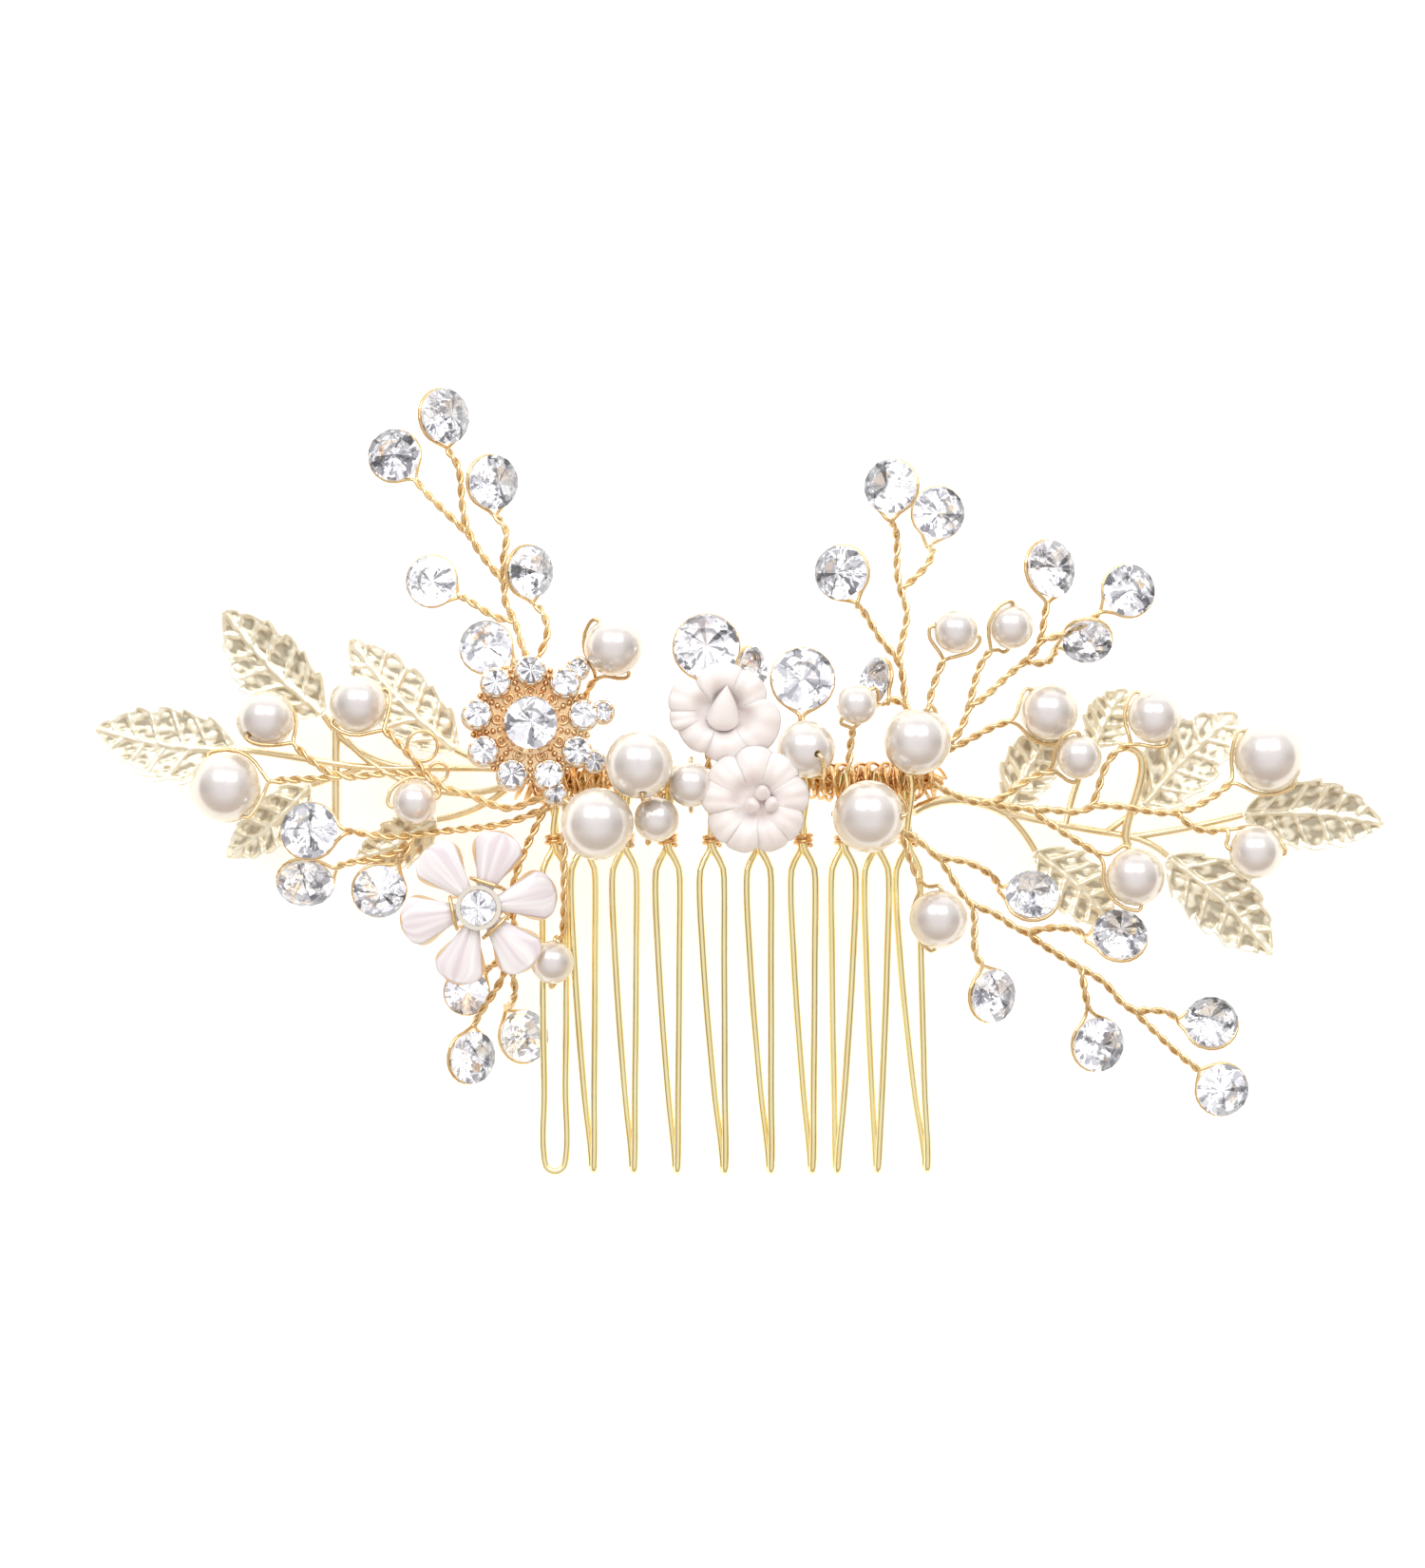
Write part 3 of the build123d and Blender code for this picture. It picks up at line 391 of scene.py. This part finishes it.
def attach(piece, node=None):
    """Fixes a piece to the comb in the place of a CAD node, and hides that node."""
    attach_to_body(piece, "root")
    if node:
        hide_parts(node)


def as_points(x, y, z):
    """Three grids of numbers as rows of x, y and z."""
    return np.stack(np.broadcast_arrays(x, y, z), axis=-1).reshape(-1, 3)


def grid_faces(rows, columns):
    """Quads of a grid of vertices numbered row by row."""
    faces = []
    for i in range(rows - 1):
        for j in range(columns - 1):
            a = i * columns + j
            faces.append((a, a + 1, a + columns + 1, a + columns))
    return faces


def ring_faces(rings, sides, first_cap=True, last_cap=True):
    """Quads between rings of vertices numbered ring by ring, with their end caps."""
    faces = []
    for i in range(rings - 1):
        for j in range(sides):
            k = (j + 1) % sides
            faces.append((i * sides + j, i * sides + k,
                          (i + 1) * sides + k, (i + 1) * sides + j))
    last = (rings - 1) * sides
    if first_cap:
        faces.append(tuple(range(sides))[::-1])
    if last_cap:
        faces.append(tuple(range(last, last + sides)))
    return faces


def join_shapes(shapes):
    """One list of points and one of faces from many small shapes."""
    points, faces = [], []
    for more_points, more_faces in shapes:
        first = len(points)
        points.extend(more_points)
        faces.extend(tuple(first + n for n in face) for face in more_faces)
    return points, faces


# ---------------------------------------------------------------- leaves

LEAF_ROWS, LEAF_COLUMNS = 150, 61
LEAF_TEETH = 6
LEAF_VEINS = 6
LEAF_FULLNESS = 1.14       # drawn half width over the CAD leaf's
LEAF_SWEEP = 0.04          # sideways bow of the midrib over the length
LEAF_SHEET = 0.22          # thickness, in mm
NARROWEST = 0.02           # half width at base and tip, in shares of the width
# Height and half width of each line of the stamping, in mm
RIB_HEIGHT, RIB_WIDTH = 0.55, 0.3
VEIN_HEIGHT, VEIN_WIDTH = 0.3, 0.24
EDGE_HEIGHT, EDGE_WIDTH = 0.26, 0.34
CRINKLE_HEIGHT = 0.14
RECESS_SHADE_SPAN = 0.13         # height over which the painted recess shade turns from dark to bright


def crinkle(x, y):
    """Uneven small bumps of thin stamped metal; x and y in mm, result about -1 to 1."""
    return (0.6 * np.sin(1.9 * x + 1.7 * np.sin(1.6 * y)) * np.sin(2.3 * y + 0.9 * x)
            + 0.4 * np.sin(3.4 * x - 1.9 * y + np.sin(2.7 * y)) * np.sin(2.9 * y + 1.3))


def leaf_surface(length, width):
    """Points of a stamped leaf, x along the midrib, y across and z up, and their painted recess
    shade.

    Sizes are in mm; t runs from base to tip and v from one edge to the other.
    """
    t = np.linspace(0.0, 1.0, LEAF_ROWS)[:, None]
    v = np.linspace(-1.0, 1.0, LEAF_COLUMNS)[None, :]
    which_half = np.sign(v)

    # the outline, cut into teeth
    outline = np.sin(np.pi * t ** 0.8) ** 0.7 * (1 - 0.1 * t)
    saw = (t * LEAF_TEETH + 0.15 * which_half) % 1.0
    teeth = 0.87 + 0.13 * np.sin(np.pi / 2 * saw) ** 2
    teeth = teeth + 0.04 * np.sin(23 * t + 2 * which_half)
    half = LEAF_FULLNESS * width / 2 * np.maximum(outline * teeth, NARROWEST)
    x = length * (t + 0.06 * np.abs(v) ** 1.3 * np.sin(np.pi * t))
    y = half * v
    from_rib = np.abs(y)
    side = from_rib / (width / 2)

    # the stamped midrib, veins, edge and crinkles
    phase = (x / length - 0.55 * from_rib / length) * LEAF_VEINS + 0.15 * which_half
    phase = phase + 0.07 * np.sin(9 * t + 3 * v)
    from_vein = np.abs(phase - np.round(phase)) * length / LEAF_VEINS
    inside = np.clip((1 - np.abs(v)) * 5, 0.0, 1.0)
    veins = VEIN_HEIGHT * np.exp(-(from_vein / VEIN_WIDTH) ** 2)
    veins = veins * np.minimum(from_rib / 0.5, 1.0) * inside
    rib = RIB_HEIGHT * np.exp(-(from_rib / RIB_WIDTH) ** 2) * (1 - 0.5 * t)
    edge = EDGE_HEIGHT * np.exp(-((1 - np.abs(v)) * half / EDGE_WIDTH) ** 2)
    rough = CRINKLE_HEIGHT * crinkle(x, y + 0.3 * which_half) * inside
    detail = rib + veins + edge + rough
    # painted shade: darkest where the stamping lies low, away from the midrib
    recess_shade = np.clip(0.9 - detail / RECESS_SHADE_SPAN, 0.0, 1.0) * np.clip(from_rib / 0.4, 0.0, 1.0)

    # the sheet folds up from the midrib, ripples along its edges and curls end to end
    fold = 0.3 * side ** 2 * width / 6
    wave = 0.18 * np.sin(t * 13 + which_half * 0.9) * np.abs(v) ** 1.5
    curl = 0.15 * length * (t - 0.5) * np.abs(t - 0.5)
    points = as_points(x, y, detail + fold + wave + curl)
    return points, np.broadcast_to(recess_shade, (LEAF_ROWS, LEAF_COLUMNS)).reshape(-1)


def make_leaf(name, points, material):
    """A stamped leaf in the place of one flat CAD leaf, its base towards the spine."""
    _, axes = principal_axes(points)
    along, facing = axes[0], forward(axes[2])
    centre = points.mean(axis=0)
    reach = (points - centre) @ along
    base, tip = centre + along * reach.min(), centre + along * reach.max()
    if np.hypot(base[0], base[2]) > np.hypot(tip[0], tip[2]):
        base, tip = tip, base
        along = -along
    across = np.cross(facing, along)
    spread = (points - centre) @ across
    length = np.linalg.norm(tip - base) / MM
    width = (spread.max() - spread.min()) / MM
    sheet, recess_shade = leaf_surface(length, width)
    sheet[:, 1] += LEAF_SWEEP * length * np.sin(np.pi * sheet[:, 0] / length)
    spots = base + MM * sheet @ np.stack([along, across, facing])
    piece = mesh_object(name, spots, grid_faces(LEAF_ROWS, LEAF_COLUMNS), material)
    put_attribute(piece.data, "recess_shade", "FLOAT", recess_shade)
    thicken(piece, "sheet", LEAF_SHEET)
    return piece


def make_leaves(node, material):
    groups, spots = islands(NODES[node].data)
    for number, group in enumerate(groups, 1):
        attach(make_leaf(f"{node}_{number}", welded(spots[group]), material), node)


# ---------------------------------------------------------------- clay flowers

BOWL_ROWS, BOWL_COLUMNS = 36, 220
BOWL_SHEET = 0.6           # thickness, in mm
WALL_WIDTH = 0.055         # how far the wall's climb spreads, in shares of the reach
SEAM_WIDTH = 0.35          # of the line between two petals, in mm
BLEND = 14                 # how sharply the outline follows the longest petal
BUD_ROWS, BUD_SIDES = 18, 20

# Petals as direction and half spread in degrees round a reach in mm
UPPER_LOBES = ((92, 5.2, 38), (42, 5.2, 30), (-22, 6.3, 34), (-84, 5.3, 36), (-142, 5.2, 32),
               (-172, 5.7, 17), (160, 6.0, 24))
LOWER_LOBES = tuple((12 + 40 * i + 6 * math.sin(3 * i), 5.75 + 0.3 * math.sin(7 * i), 25)
                    for i in range(9))
LOWER_KNOBS = ((-0.2, -0.5), (1.6, -0.4), (0.75, 0.6))


def clay_bowl(lobes, hollow, rise, ruffle, lap, crease, lift):
    """One ruffled bowl of joined petals: x right, y up and z towards the viewer, in mm.

    Each lobe is a direction, a reach and a half spread in degrees. The floor is flat out to
    the hollow's share of the reach, climbs a wall and flares to the edge; lap lifts one side
    of each petal over its neighbour, crease is the depth of the line between them, and lift
    is how far the floor stands off.
    """
    turn = np.linspace(0.0, 2 * np.pi, BOWL_COLUMNS, endpoint=False)
    across, reach = [], []
    for direction, length, spread in lobes:
        away = (np.degrees(turn) - direction + 180) % 360 - 180
        across.append(away / spread)
        reach.append(length * np.clip(1 - 0.2 * np.abs(away / spread) ** 3, 0.05, 1))
    across, reach = np.array(across), np.array(reach)
    owner = reach.argmax(axis=0)
    ranked = np.sort(reach, axis=0)
    outline = (reach ** BLEND).sum(axis=0) ** (1 / BLEND)
    seam = np.exp(-((ranked[-1] - ranked[-2]) / SEAM_WIDTH) ** 2)[None, :]
    tilt = across[owner, np.arange(BOWL_COLUMNS)][None, :].clip(-1, 1)

    t = np.linspace(0.01, 1.0, BOWL_ROWS)[:, None]
    out = ((t - hollow) / (1 - hollow)).clip(0, 1)
    wall = 1 / (1 + np.exp((hollow - t) / WALL_WIDTH))
    z = rise * wall - 0.5 * out ** 2
    z = z + lap * tilt * out ** 0.7 - crease * seam * out ** 0.5
    z = z + ruffle * out ** 1.5 * np.sin(3 * np.pi * tilt + owner[None, :] * 1.9)
    z = z + 0.35 * (1 - np.abs(tilt) ** 2) * np.sin(np.pi * out) - 0.35 * out ** 8
    radius = outline[None, :] * t * (1 - 0.05 * seam * out)
    points = as_points(radius * np.cos(turn), radius * np.sin(turn), z + lift)
    return points, ring_faces(BOWL_ROWS, BOWL_COLUMNS, last_cap=False)


def bud(base, tip, radius, fullest):
    """A pointed drop of clay, widest at the fullest share of the way from base to tip."""
    base, tip = np.array(base), np.array(tip)
    along = (tip - base) / np.linalg.norm(tip - base)
    side = np.cross(along, (1.0, 0.0, 0.0))
    side = side / np.linalg.norm(side)
    other = np.cross(along, side)
    points = []
    for i in range(BUD_ROWS):
        t = i / (BUD_ROWS - 1)
        grow = math.sin(math.pi / 2 * min(1.0, (t + 0.12) / (fullest + 0.12)))
        close = max(0.0, (t - fullest) / (1 - fullest))
        reach = radius * grow * (1 - close ** 1.6) + 0.04
        for j in range(BUD_SIDES):
            angle = 2 * math.pi * j / BUD_SIDES
            ridge = 1 + 0.06 * math.sin(3 * angle + 1.0)
            spoke = side * math.cos(angle) + other * math.sin(angle)
            points.append(base + (tip - base) * t + spoke * reach * ridge)
    return np.array(points), ring_faces(BUD_ROWS, BUD_SIDES)


def clay_object(name, node, points, faces, material):
    """A clay piece set on the middle of a CAD flower, its z measured from the back."""
    low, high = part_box(node)
    centre = np.array([(low[0] + high[0]) / 2, high[1], (low[2] + high[2]) / 2])
    x, y, z = points.T * MM
    piece = mesh_object(name, centre + np.stack([x, -z, y], axis=1), faces, material)
    attach(piece, node)
    return piece


def add_bowl(name, node, material, **shape):
    piece = clay_object(name, node, *clay_bowl(**shape), material)
    thicken(piece, "clay", BOWL_SHEET)


def add_bud(name, node, material, **shape):
    piece = clay_object(name, node, *bud(**shape), material)
    rounded = piece.modifiers.new("rounded", "SUBSURF")
    rounded.levels = 1
    rounded.render_levels = 1


def make_upper_flower(material):
    """Uneven lobes, slit on the left, round a tall flame-shaped bud."""
    node = "upper_clay_flower"
    add_bowl("upper_flower_bowl", node, material, lobes=UPPER_LOBES, hollow=0.5, rise=2.2,
             ruffle=0.13, lap=0.34, crease=0.2, lift=0.7)
    add_bud("upper_flower_bud", node, material, base=(-0.2, -1.8, 1.2), tip=(0.4, 2.9, 3.3),
            radius=1.75, fullest=0.22)


def make_lower_flower(material):
    """Nine scallops that make a shallow cup round three knobs."""
    node = "lower_clay_flower"
    add_bowl("lower_flower_bowl", node, material, lobes=LOWER_LOBES, hollow=0.42, rise=1.6,
             ruffle=0.12, lap=0.24, crease=0.02, lift=0.8)
    for number, (x, y) in enumerate(LOWER_KNOBS, 1):
        add_bud(f"lower_flower_knob_{number}", node, material, base=(x, y, 0.9),
                tip=(x * 1.5 - 0.3, y * 1.5 + 0.7, 3.3), radius=0.85, fullest=0.5)


# ---------------------------------------------------------------- shell flower

PETAL_ROWS, PETAL_COLUMNS = 34, 21
PETAL_SHEET = 0.3          # thickness, in mm
PETAL_LIFT = 0.15          # of the sheet's middle over the flat inlay's back, in mm
PETAL_DOME = 0.55          # in mm
PETAL_CREASE = 0.16        # in mm
STREAK_SHIFT = 3.7         # from petal to petal, so that no two are streaked alike


def shell_sheet(length, half_width):
    """A domed petal with a narrow inner end: x outwards, y across, z towards the viewer.

    It comes with the place of each point in the pattern of streaks.
    """
    t = np.linspace(0.0, 1.0, PETAL_ROWS)[:, None]
    v = np.linspace(-1.0, 1.0, PETAL_COLUMNS)[None, :]
    rounding = (1 - ((t - 0.7) / 0.3).clip(0) ** 2.8).clip(0) ** 0.45
    half = half_width * (0.22 + 0.78 * np.clip(t / 0.76, 0, 1)) * rounding
    dome = PETAL_DOME * (1 - v ** 2) * np.sin(np.pi * np.clip(t, 0.06, 0.94)) ** 0.6
    crease = -PETAL_CREASE * np.exp(-(v / 0.2) ** 2) * (1 - t)
    return as_points(length * t, half * v, dome + crease), as_points(v * 2.6, t * 0.35, 0.0)


def make_shell_petals(material):
    """Six domed inlays in the places of the flat ones."""
    node = "shell_flower_petals"
    low, high = (np.array(corner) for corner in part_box("shell_flower_ring"))
    middle = (low + high) / 2
    groups, spots = islands(NODES[node].data)
    for number, group in enumerate(groups, 1):
        points = spots[group] - middle
        along = points.mean(axis=0) * (1, 0, 1)
        along = along / np.linalg.norm(along)
        across = np.cross(SHOW_SIDE, along)
        reach, spread = points @ along, points @ across
        back = (points @ SHOW_SIDE).min()
        sheet, streaks = shell_sheet((reach.max() - reach.min()) / MM,
                                     (spread.max() - spread.min()) / 2 / MM)
        origin = middle + along * reach.min() + SHOW_SIDE * (back + PETAL_LIFT * MM)
        places = origin + MM * sheet @ np.stack([along, across, SHOW_SIDE])
        piece = mesh_object(f"shell_petal_{number}", places,
                            grid_faces(PETAL_ROWS, PETAL_COLUMNS), material)
        streaks[:, 2] = number * STREAK_SHIFT
        put_attribute(piece.data, "across", "FLOAT_VECTOR", streaks)
        thicken(piece, "inlay", PETAL_SHEET)
        attach(piece, node)


# ---------------------------------------------------------------- cast setting

# Sizes in mm
CLAW, CLAW_GAP, CLAW_PITCH, FEWEST_CLAWS = 0.25, 0.04, 1.05, 5
COLLET_GAP, COLLET_WIRE = 0.1, 0.27
COLLET_SINK = 0.35         # below the stone's middle, in shares of its radius
PLATE_DEPTH = 1.88         # the setting's plate behind the middle stone's middle
SCROLL_RADIUS, SCROLL_WIRE, SCROLL_REACH = 0.55, 0.17, 0.75
SCROLL_GRAIN, SCROLL_GRAIN_LIFT = 0.26, 0.1
SPOKE_GRAIN, SPOKE_GRAIN_LIFT = 0.34, 0.12
SPOKE_START, SPOKE_STEP, SPOKE_GRAINS = 0.5, 0.75, 5
RIM_STONES = 9             # stones in the round row about the middle one


def grain(centre, radius):
    """A small ball of gold, as points and faces."""
    rings, sides = 6, 9
    points = [centre + np.array((0.0, 0.0, radius))]
    for i in range(1, rings):
        polar = math.pi * i / rings
        for j in range(sides):
            turn = 2 * math.pi * j / sides
            points.append(centre + radius * np.array((
                math.sin(polar) * math.cos(turn),
                math.sin(polar) * math.sin(turn),
                math.cos(polar),
            )))
    points.append(centre - np.array((0.0, 0.0, radius)))
    last = len(points) - 1
    faces = []
    for j in range(sides):
        k = (j + 1) % sides
        faces.append((0, 1 + j, 1 + k))
        faces.append((last, last - sides + k, last - sides + j))
        for i in range(rings - 2):
            row, below = 1 + i * sides, 1 + (i + 1) * sides
            faces.append((row + j, below + j, below + k, row + k))
    return points, faces


def wire_hoop(centre, side, other, facing, radius, thickness):
    """A closed ring of round wire lying across the facing direction."""
    around, section = 28, 8
    points, faces = [], []
    for i in range(around):
        turn = 2 * math.pi * i / around
        outwards = side * math.cos(turn) + other * math.sin(turn)
        for j in range(section):
            roll = 2 * math.pi * j / section
            points.append(centre + outwards * (radius + thickness * math.cos(roll))
                          + facing * thickness * math.sin(roll))
            k, m = (i + 1) % around, (j + 1) % section
            faces.append((i * section + j, k * section + j, k * section + m, i * section + m))
    return points, faces


def brooch_seats():
    """The stones' middles and radii, the biggest first, and the way the setting faces."""
    groups, spots = islands(NODES["brooch_stones"].data)
    seats = []
    for group in groups:
        points = welded(spots[group])
        middle, axes = principal_axes(points)
        radius = np.ptp(points @ axes[0]) / 2
        seats.append((middle, radius, axes[2]))
    seats.sort(key=lambda seat: -seat[1])
    return [(middle, radius) for middle, radius, _ in seats], forward(seats[0][2])


def make_filigree(material, rim):
    """Collets round the stones, and claws, scrolls and grains over the setting's plate."""
    seats, facing = brooch_seats()
    side = np.cross(facing, (0.0, 0.0, 1.0))
    side = side / np.linalg.norm(side)
    other = np.cross(facing, side)
    shapes, collets = [], []
    for middle, radius in seats:
        collets.append(wire_hoop(middle - facing * COLLET_SINK * radius, side, other, facing,
                                 radius + COLLET_GAP * MM, COLLET_WIRE * MM))
        claws = max(FEWEST_CLAWS, round(2 * math.pi * radius / (CLAW_PITCH * MM)))
        for i in range(claws):
            turn = 2 * math.pi * (i + 0.5) / claws
            outwards = side * math.cos(turn) + other * math.sin(turn)
            shapes.append(grain(middle + outwards * (radius + CLAW_GAP * MM), CLAW * MM))
    centre, big = seats[0]
    plate = centre - facing * PLATE_DEPTH * MM
    half_step = math.pi / RIM_STONES
    for middle, _ in seats[1:RIM_STONES + 1]:
        outwards = middle - centre
        outwards = outwards - facing * (outwards @ facing)
        outwards = outwards / np.linalg.norm(outwards)
        beside = np.cross(facing, outwards)
        scroll = plate + outwards * (big + SCROLL_REACH * MM)
        shapes.append(wire_hoop(scroll, outwards, beside, facing,
                                SCROLL_RADIUS * MM, SCROLL_WIRE * MM))
        shapes.append(grain(scroll + facing * SCROLL_GRAIN_LIFT * MM, SCROLL_GRAIN * MM))
        between = outwards * math.cos(half_step) + beside * math.sin(half_step)
        for step in range(SPOKE_GRAINS):
            spot = plate + between * (big + (SPOKE_START + SPOKE_STEP * step) * MM)
            spot = spot + facing * SPOKE_GRAIN_LIFT * (step % 2) * MM
            shapes.append(grain(spot, SPOKE_GRAIN * MM))
    attach(mesh_object("brooch_filigree", *join_shapes(shapes), material))
    attach(mesh_object("brooch_collets", *join_shapes(collets), rim))


# ---------------------------------------------------------------- loose binding

# Start x, end x, turns, coil radius and lean of each loose run, in mm
LOOSE_RUNS = ((-24.5, -14.0, 9, 2.3, 0.9), (-23.5, -15.5, 6, 2.7, -1.3),
              (8.4, 21.4, 11, 1.9, 0.8), (9.6, 22.6, 8, 2.1, -1.1))
LOOSE_WIRE = 0.2           # radius, in mm
TURN_POINTS = 24
COIL_HEIGHT = 0.92         # of a turn over its depth
WIRE_SIDES = 8


def wire_tube(path, radius):
    """An open round wire along a path of points, as points and faces."""
    path = np.array(path)
    side = np.array((0.0, 1.0, 0.0))
    points = []
    for spot, tangent in zip(path, np.gradient(path, axis=0)):
        tangent = tangent / np.linalg.norm(tangent)
        side = side - tangent * (side @ tangent)
        side = side / np.linalg.norm(side)
        other = np.cross(tangent, side)
        for j in range(WIRE_SIDES):
            roll = 2 * math.pi * j / WIRE_SIDES
            points.append(spot + radius * (side * math.cos(roll) + other * math.sin(roll)))
    return points, ring_faces(len(path), WIRE_SIDES)


def spine_middle():
    """The spine's centre line, as a function from x to a point."""
    spots = vertex_spots(NODES["spine_wire"].data)
    bow = np.polyfit(spots[:, 0], spots[:, 1], 4)
    return lambda x: np.array((x, np.polyval(bow, x), 0.0))


def make_loose_binding(material):
    """Untidy turns of fine wire over the neat binding, where the ornaments leave it open."""
    middle = spine_middle()
    shapes = []
    for number, (start, end, turns, coil, lean) in enumerate(LOOSE_RUNS):
        path = []
        for share in np.linspace(0.0, 1.0, TURN_POINTS * turns + 1):
            angle = 2 * math.pi * turns * share + number
            wander = 0.22 * math.sin(2.3 * angle + number) + 0.15 * math.sin(0.61 * angle)
            reach = coil + wander
            x = start + (end - start) * share + lean * math.sin(angle + 0.4 * number)
            around = (0.0, -reach * math.cos(angle), COIL_HEIGHT * reach * math.sin(angle))
            path.append(middle(x * MM) + MM * np.array(around))
        shapes.append(wire_tube(path, LOOSE_WIRE * MM))
    attach(mesh_object("loose_binding", *join_shapes(shapes), material))


# ---------------------------------------------------------------- surroundings

FRAME_HEIGHT = 173.7 * MM              # height of the picture at the comb
LOOKED_AT = (-2.53 * MM, -0.32 * MM)   # x and z of the picture's middle
LENS, SENSOR_HEIGHT = 135, 24          # in mm
BACKDROP_GAP = 4 * MM
BACKDROP_HALF = 1.5


def area_light(name, place, target, size, power, colour=(1, 1, 1)):
    light = bpy.data.lights.new(name, "AREA")
    light.shape = "RECTANGLE"
    light.size, light.size_y = size
    light.energy = power
    light.color = colour
    lamp = bpy.data.objects.new(name, light)
    lamp.location = place
    lamp.rotation_euler = (Vector(target) - Vector(place)).to_track_quat("-Z", "Y").to_euler()
    bpy.context.scene.collection.objects.link(lamp)
    return lamp


def make_world():
    """White to the camera. Reflections see light above, warm below, dim round the horizon
    and white on the side the camera is on."""
    world = bpy.data.worlds.new("studio")
    bpy.context.scene.world = world
    world.use_nodes = True
    tree = world.node_tree
    tree.nodes.clear()
    output = tree.nodes.new("ShaderNodeOutputWorld")
    direction = tree.nodes.new("ShaderNodeTexCoord").outputs["Generated"]
    split = add(tree, "ShaderNodeSeparateXYZ", Vector=direction)
    height = add(tree, "ShaderNodeMapRange", Value=split.outputs["Z"], From_Min=-1.0,
                 From_Max=1.0)
    front = add(tree, "ShaderNodeMapRange", Value=split.outputs["Y"], From_Min=-0.5,
                From_Max=-0.9)
    room = add(tree, "ShaderNodeMixRGB", Fac=front.outputs["Result"],
               Color1=ramp(tree, height.outputs["Result"], ROOM), Color2=(1.0, 0.98, 0.96, 1.0))
    seen = add(tree, "ShaderNodeBackground", Color=(1, 1, 1, 1), Strength=1.0)
    around = add(tree, "ShaderNodeBackground", Color=room.outputs["Color"], Strength=0.9)
    path = tree.nodes.new("ShaderNodeLightPath")
    mix = add(tree, "ShaderNodeMixShader", Fac=path.outputs["Is Camera Ray"])
    tree.links.new(around.outputs[0], mix.inputs[1])
    tree.links.new(seen.outputs[0], mix.inputs[2])
    tree.links.new(mix.outputs[0], output.inputs["Surface"])


def make_backdrop(y):
    """A pale sheet just behind the comb that only shows from the front."""
    material, tree, output = new_material("pale_backdrop")
    paper = add(tree, "ShaderNodeBsdfPrincipled", Base_Color=(0.9, 0.9, 0.9, 1.0), Roughness=1.0,
                Specular_IOR_Level=0.0, Emission_Color=(1, 1, 1, 1), Emission_Strength=0.42)
    clear = tree.nodes.new("ShaderNodeBsdfTransparent")
    geometry = tree.nodes.new("ShaderNodeNewGeometry")
    mix = add(tree, "ShaderNodeMixShader", Fac=geometry.outputs["Backfacing"])
    tree.links.new(paper.outputs[0], mix.inputs[1])
    tree.links.new(clear.outputs[0], mix.inputs[2])
    tree.links.new(mix.outputs[0], output.inputs["Surface"])
    corners = [(x * BACKDROP_HALF, y, z * BACKDROP_HALF)
               for x, z in ((-1, -1), (1, -1), (1, 1), (-1, 1))]
    mesh_object("backdrop", corners, [(0, 1, 2, 3)], material, smooth=False)


def make_camera():
    """Straight on to the show side, framed like the photo."""
    camera = bpy.data.cameras.new("camera")
    camera.lens = LENS
    camera.sensor_fit = "VERTICAL"
    camera.sensor_height = SENSOR_HEIGHT
    camera.clip_start = 0.01
    distance = FRAME_HEIGHT * LENS / SENSOR_HEIGHT
    view = bpy.data.objects.new("camera", camera)
    view.location = (LOOKED_AT[0], -distance, LOOKED_AT[1])
    view.rotation_euler = (math.pi / 2, 0, 0)
    bpy.context.scene.collection.objects.link(view)
    bpy.context.scene.camera = view


def make_studio():
    make_world()
    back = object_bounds()[1][1]
    make_backdrop(back + BACKDROP_GAP)
    middle = (0.0, 0.0, 0.0)
    area_light("left_softbox", (-0.24, -0.5, 0.42), middle, (0.38, 0.34), 1.4)
    area_light("right_softbox", (0.2, -0.52, 0.4), middle, (0.38, 0.34), 1.15)
    low_front = area_light("low_front", (0.1, -0.7, -0.35), middle, (0.6, 0.2), 0.7,
                           (1.0, 0.93, 0.85))
    low_front.visible_glossy = False
    area_light("paper_light", (0.0, 0.0, 0.9), (0.0, back, 0.0), (1.2, 0.5), 1.0)
    bpy.context.scene.view_settings.view_transform = "Standard"
    make_camera()


# ---------------------------------------------------------------- build

WIRE_ENDINGS = ("_wire", "_wires", "_shanks", "_ties", "_rings")
# Material and smoothness of each CAD node that the endings don't settle
WORN = {
    "comb_teeth": ("comb", True),
    "leaf_stems_left": ("stem", True),
    "leaf_stems_right": ("stem", True),
    "spine_wire": ("binding", True),
    "binding_wire": ("binding", True),
    "neck_ties": ("binding", True),
    "crystal_cups": ("cup", True),
    "shell_flower_ring": ("cup", False),
    "shell_flower_base": ("cast", False),
    "brooch_base": ("cast", False),
}


def dress_nodes(materials):
    for name in NODES:
        if name in WORN:
            key, smooth = WORN[name]
            wear(name, materials[key], smooth)
        elif name.endswith(("_crystals", "_stone", "_stones")):
            dress_crystals(name, materials)
        elif name.startswith("pearl_"):
            wear(name, materials["pearl"])
        elif name.endswith(WIRE_ENDINGS):
            wear(name, materials["wire"])


MATERIALS = make_materials()
dress_nodes(MATERIALS)
make_shell_petals(MATERIALS["shell"])
make_filigree(MATERIALS["cast"], MATERIALS["cup"])
make_loose_binding(MATERIALS["binding"])
make_leaves("leaves_left", MATERIALS["leaf"])
make_leaves("leaves_right", MATERIALS["leaf"])
make_upper_flower(MATERIALS["clay"])
make_lower_flower(MATERIALS["clay"])
make_studio()
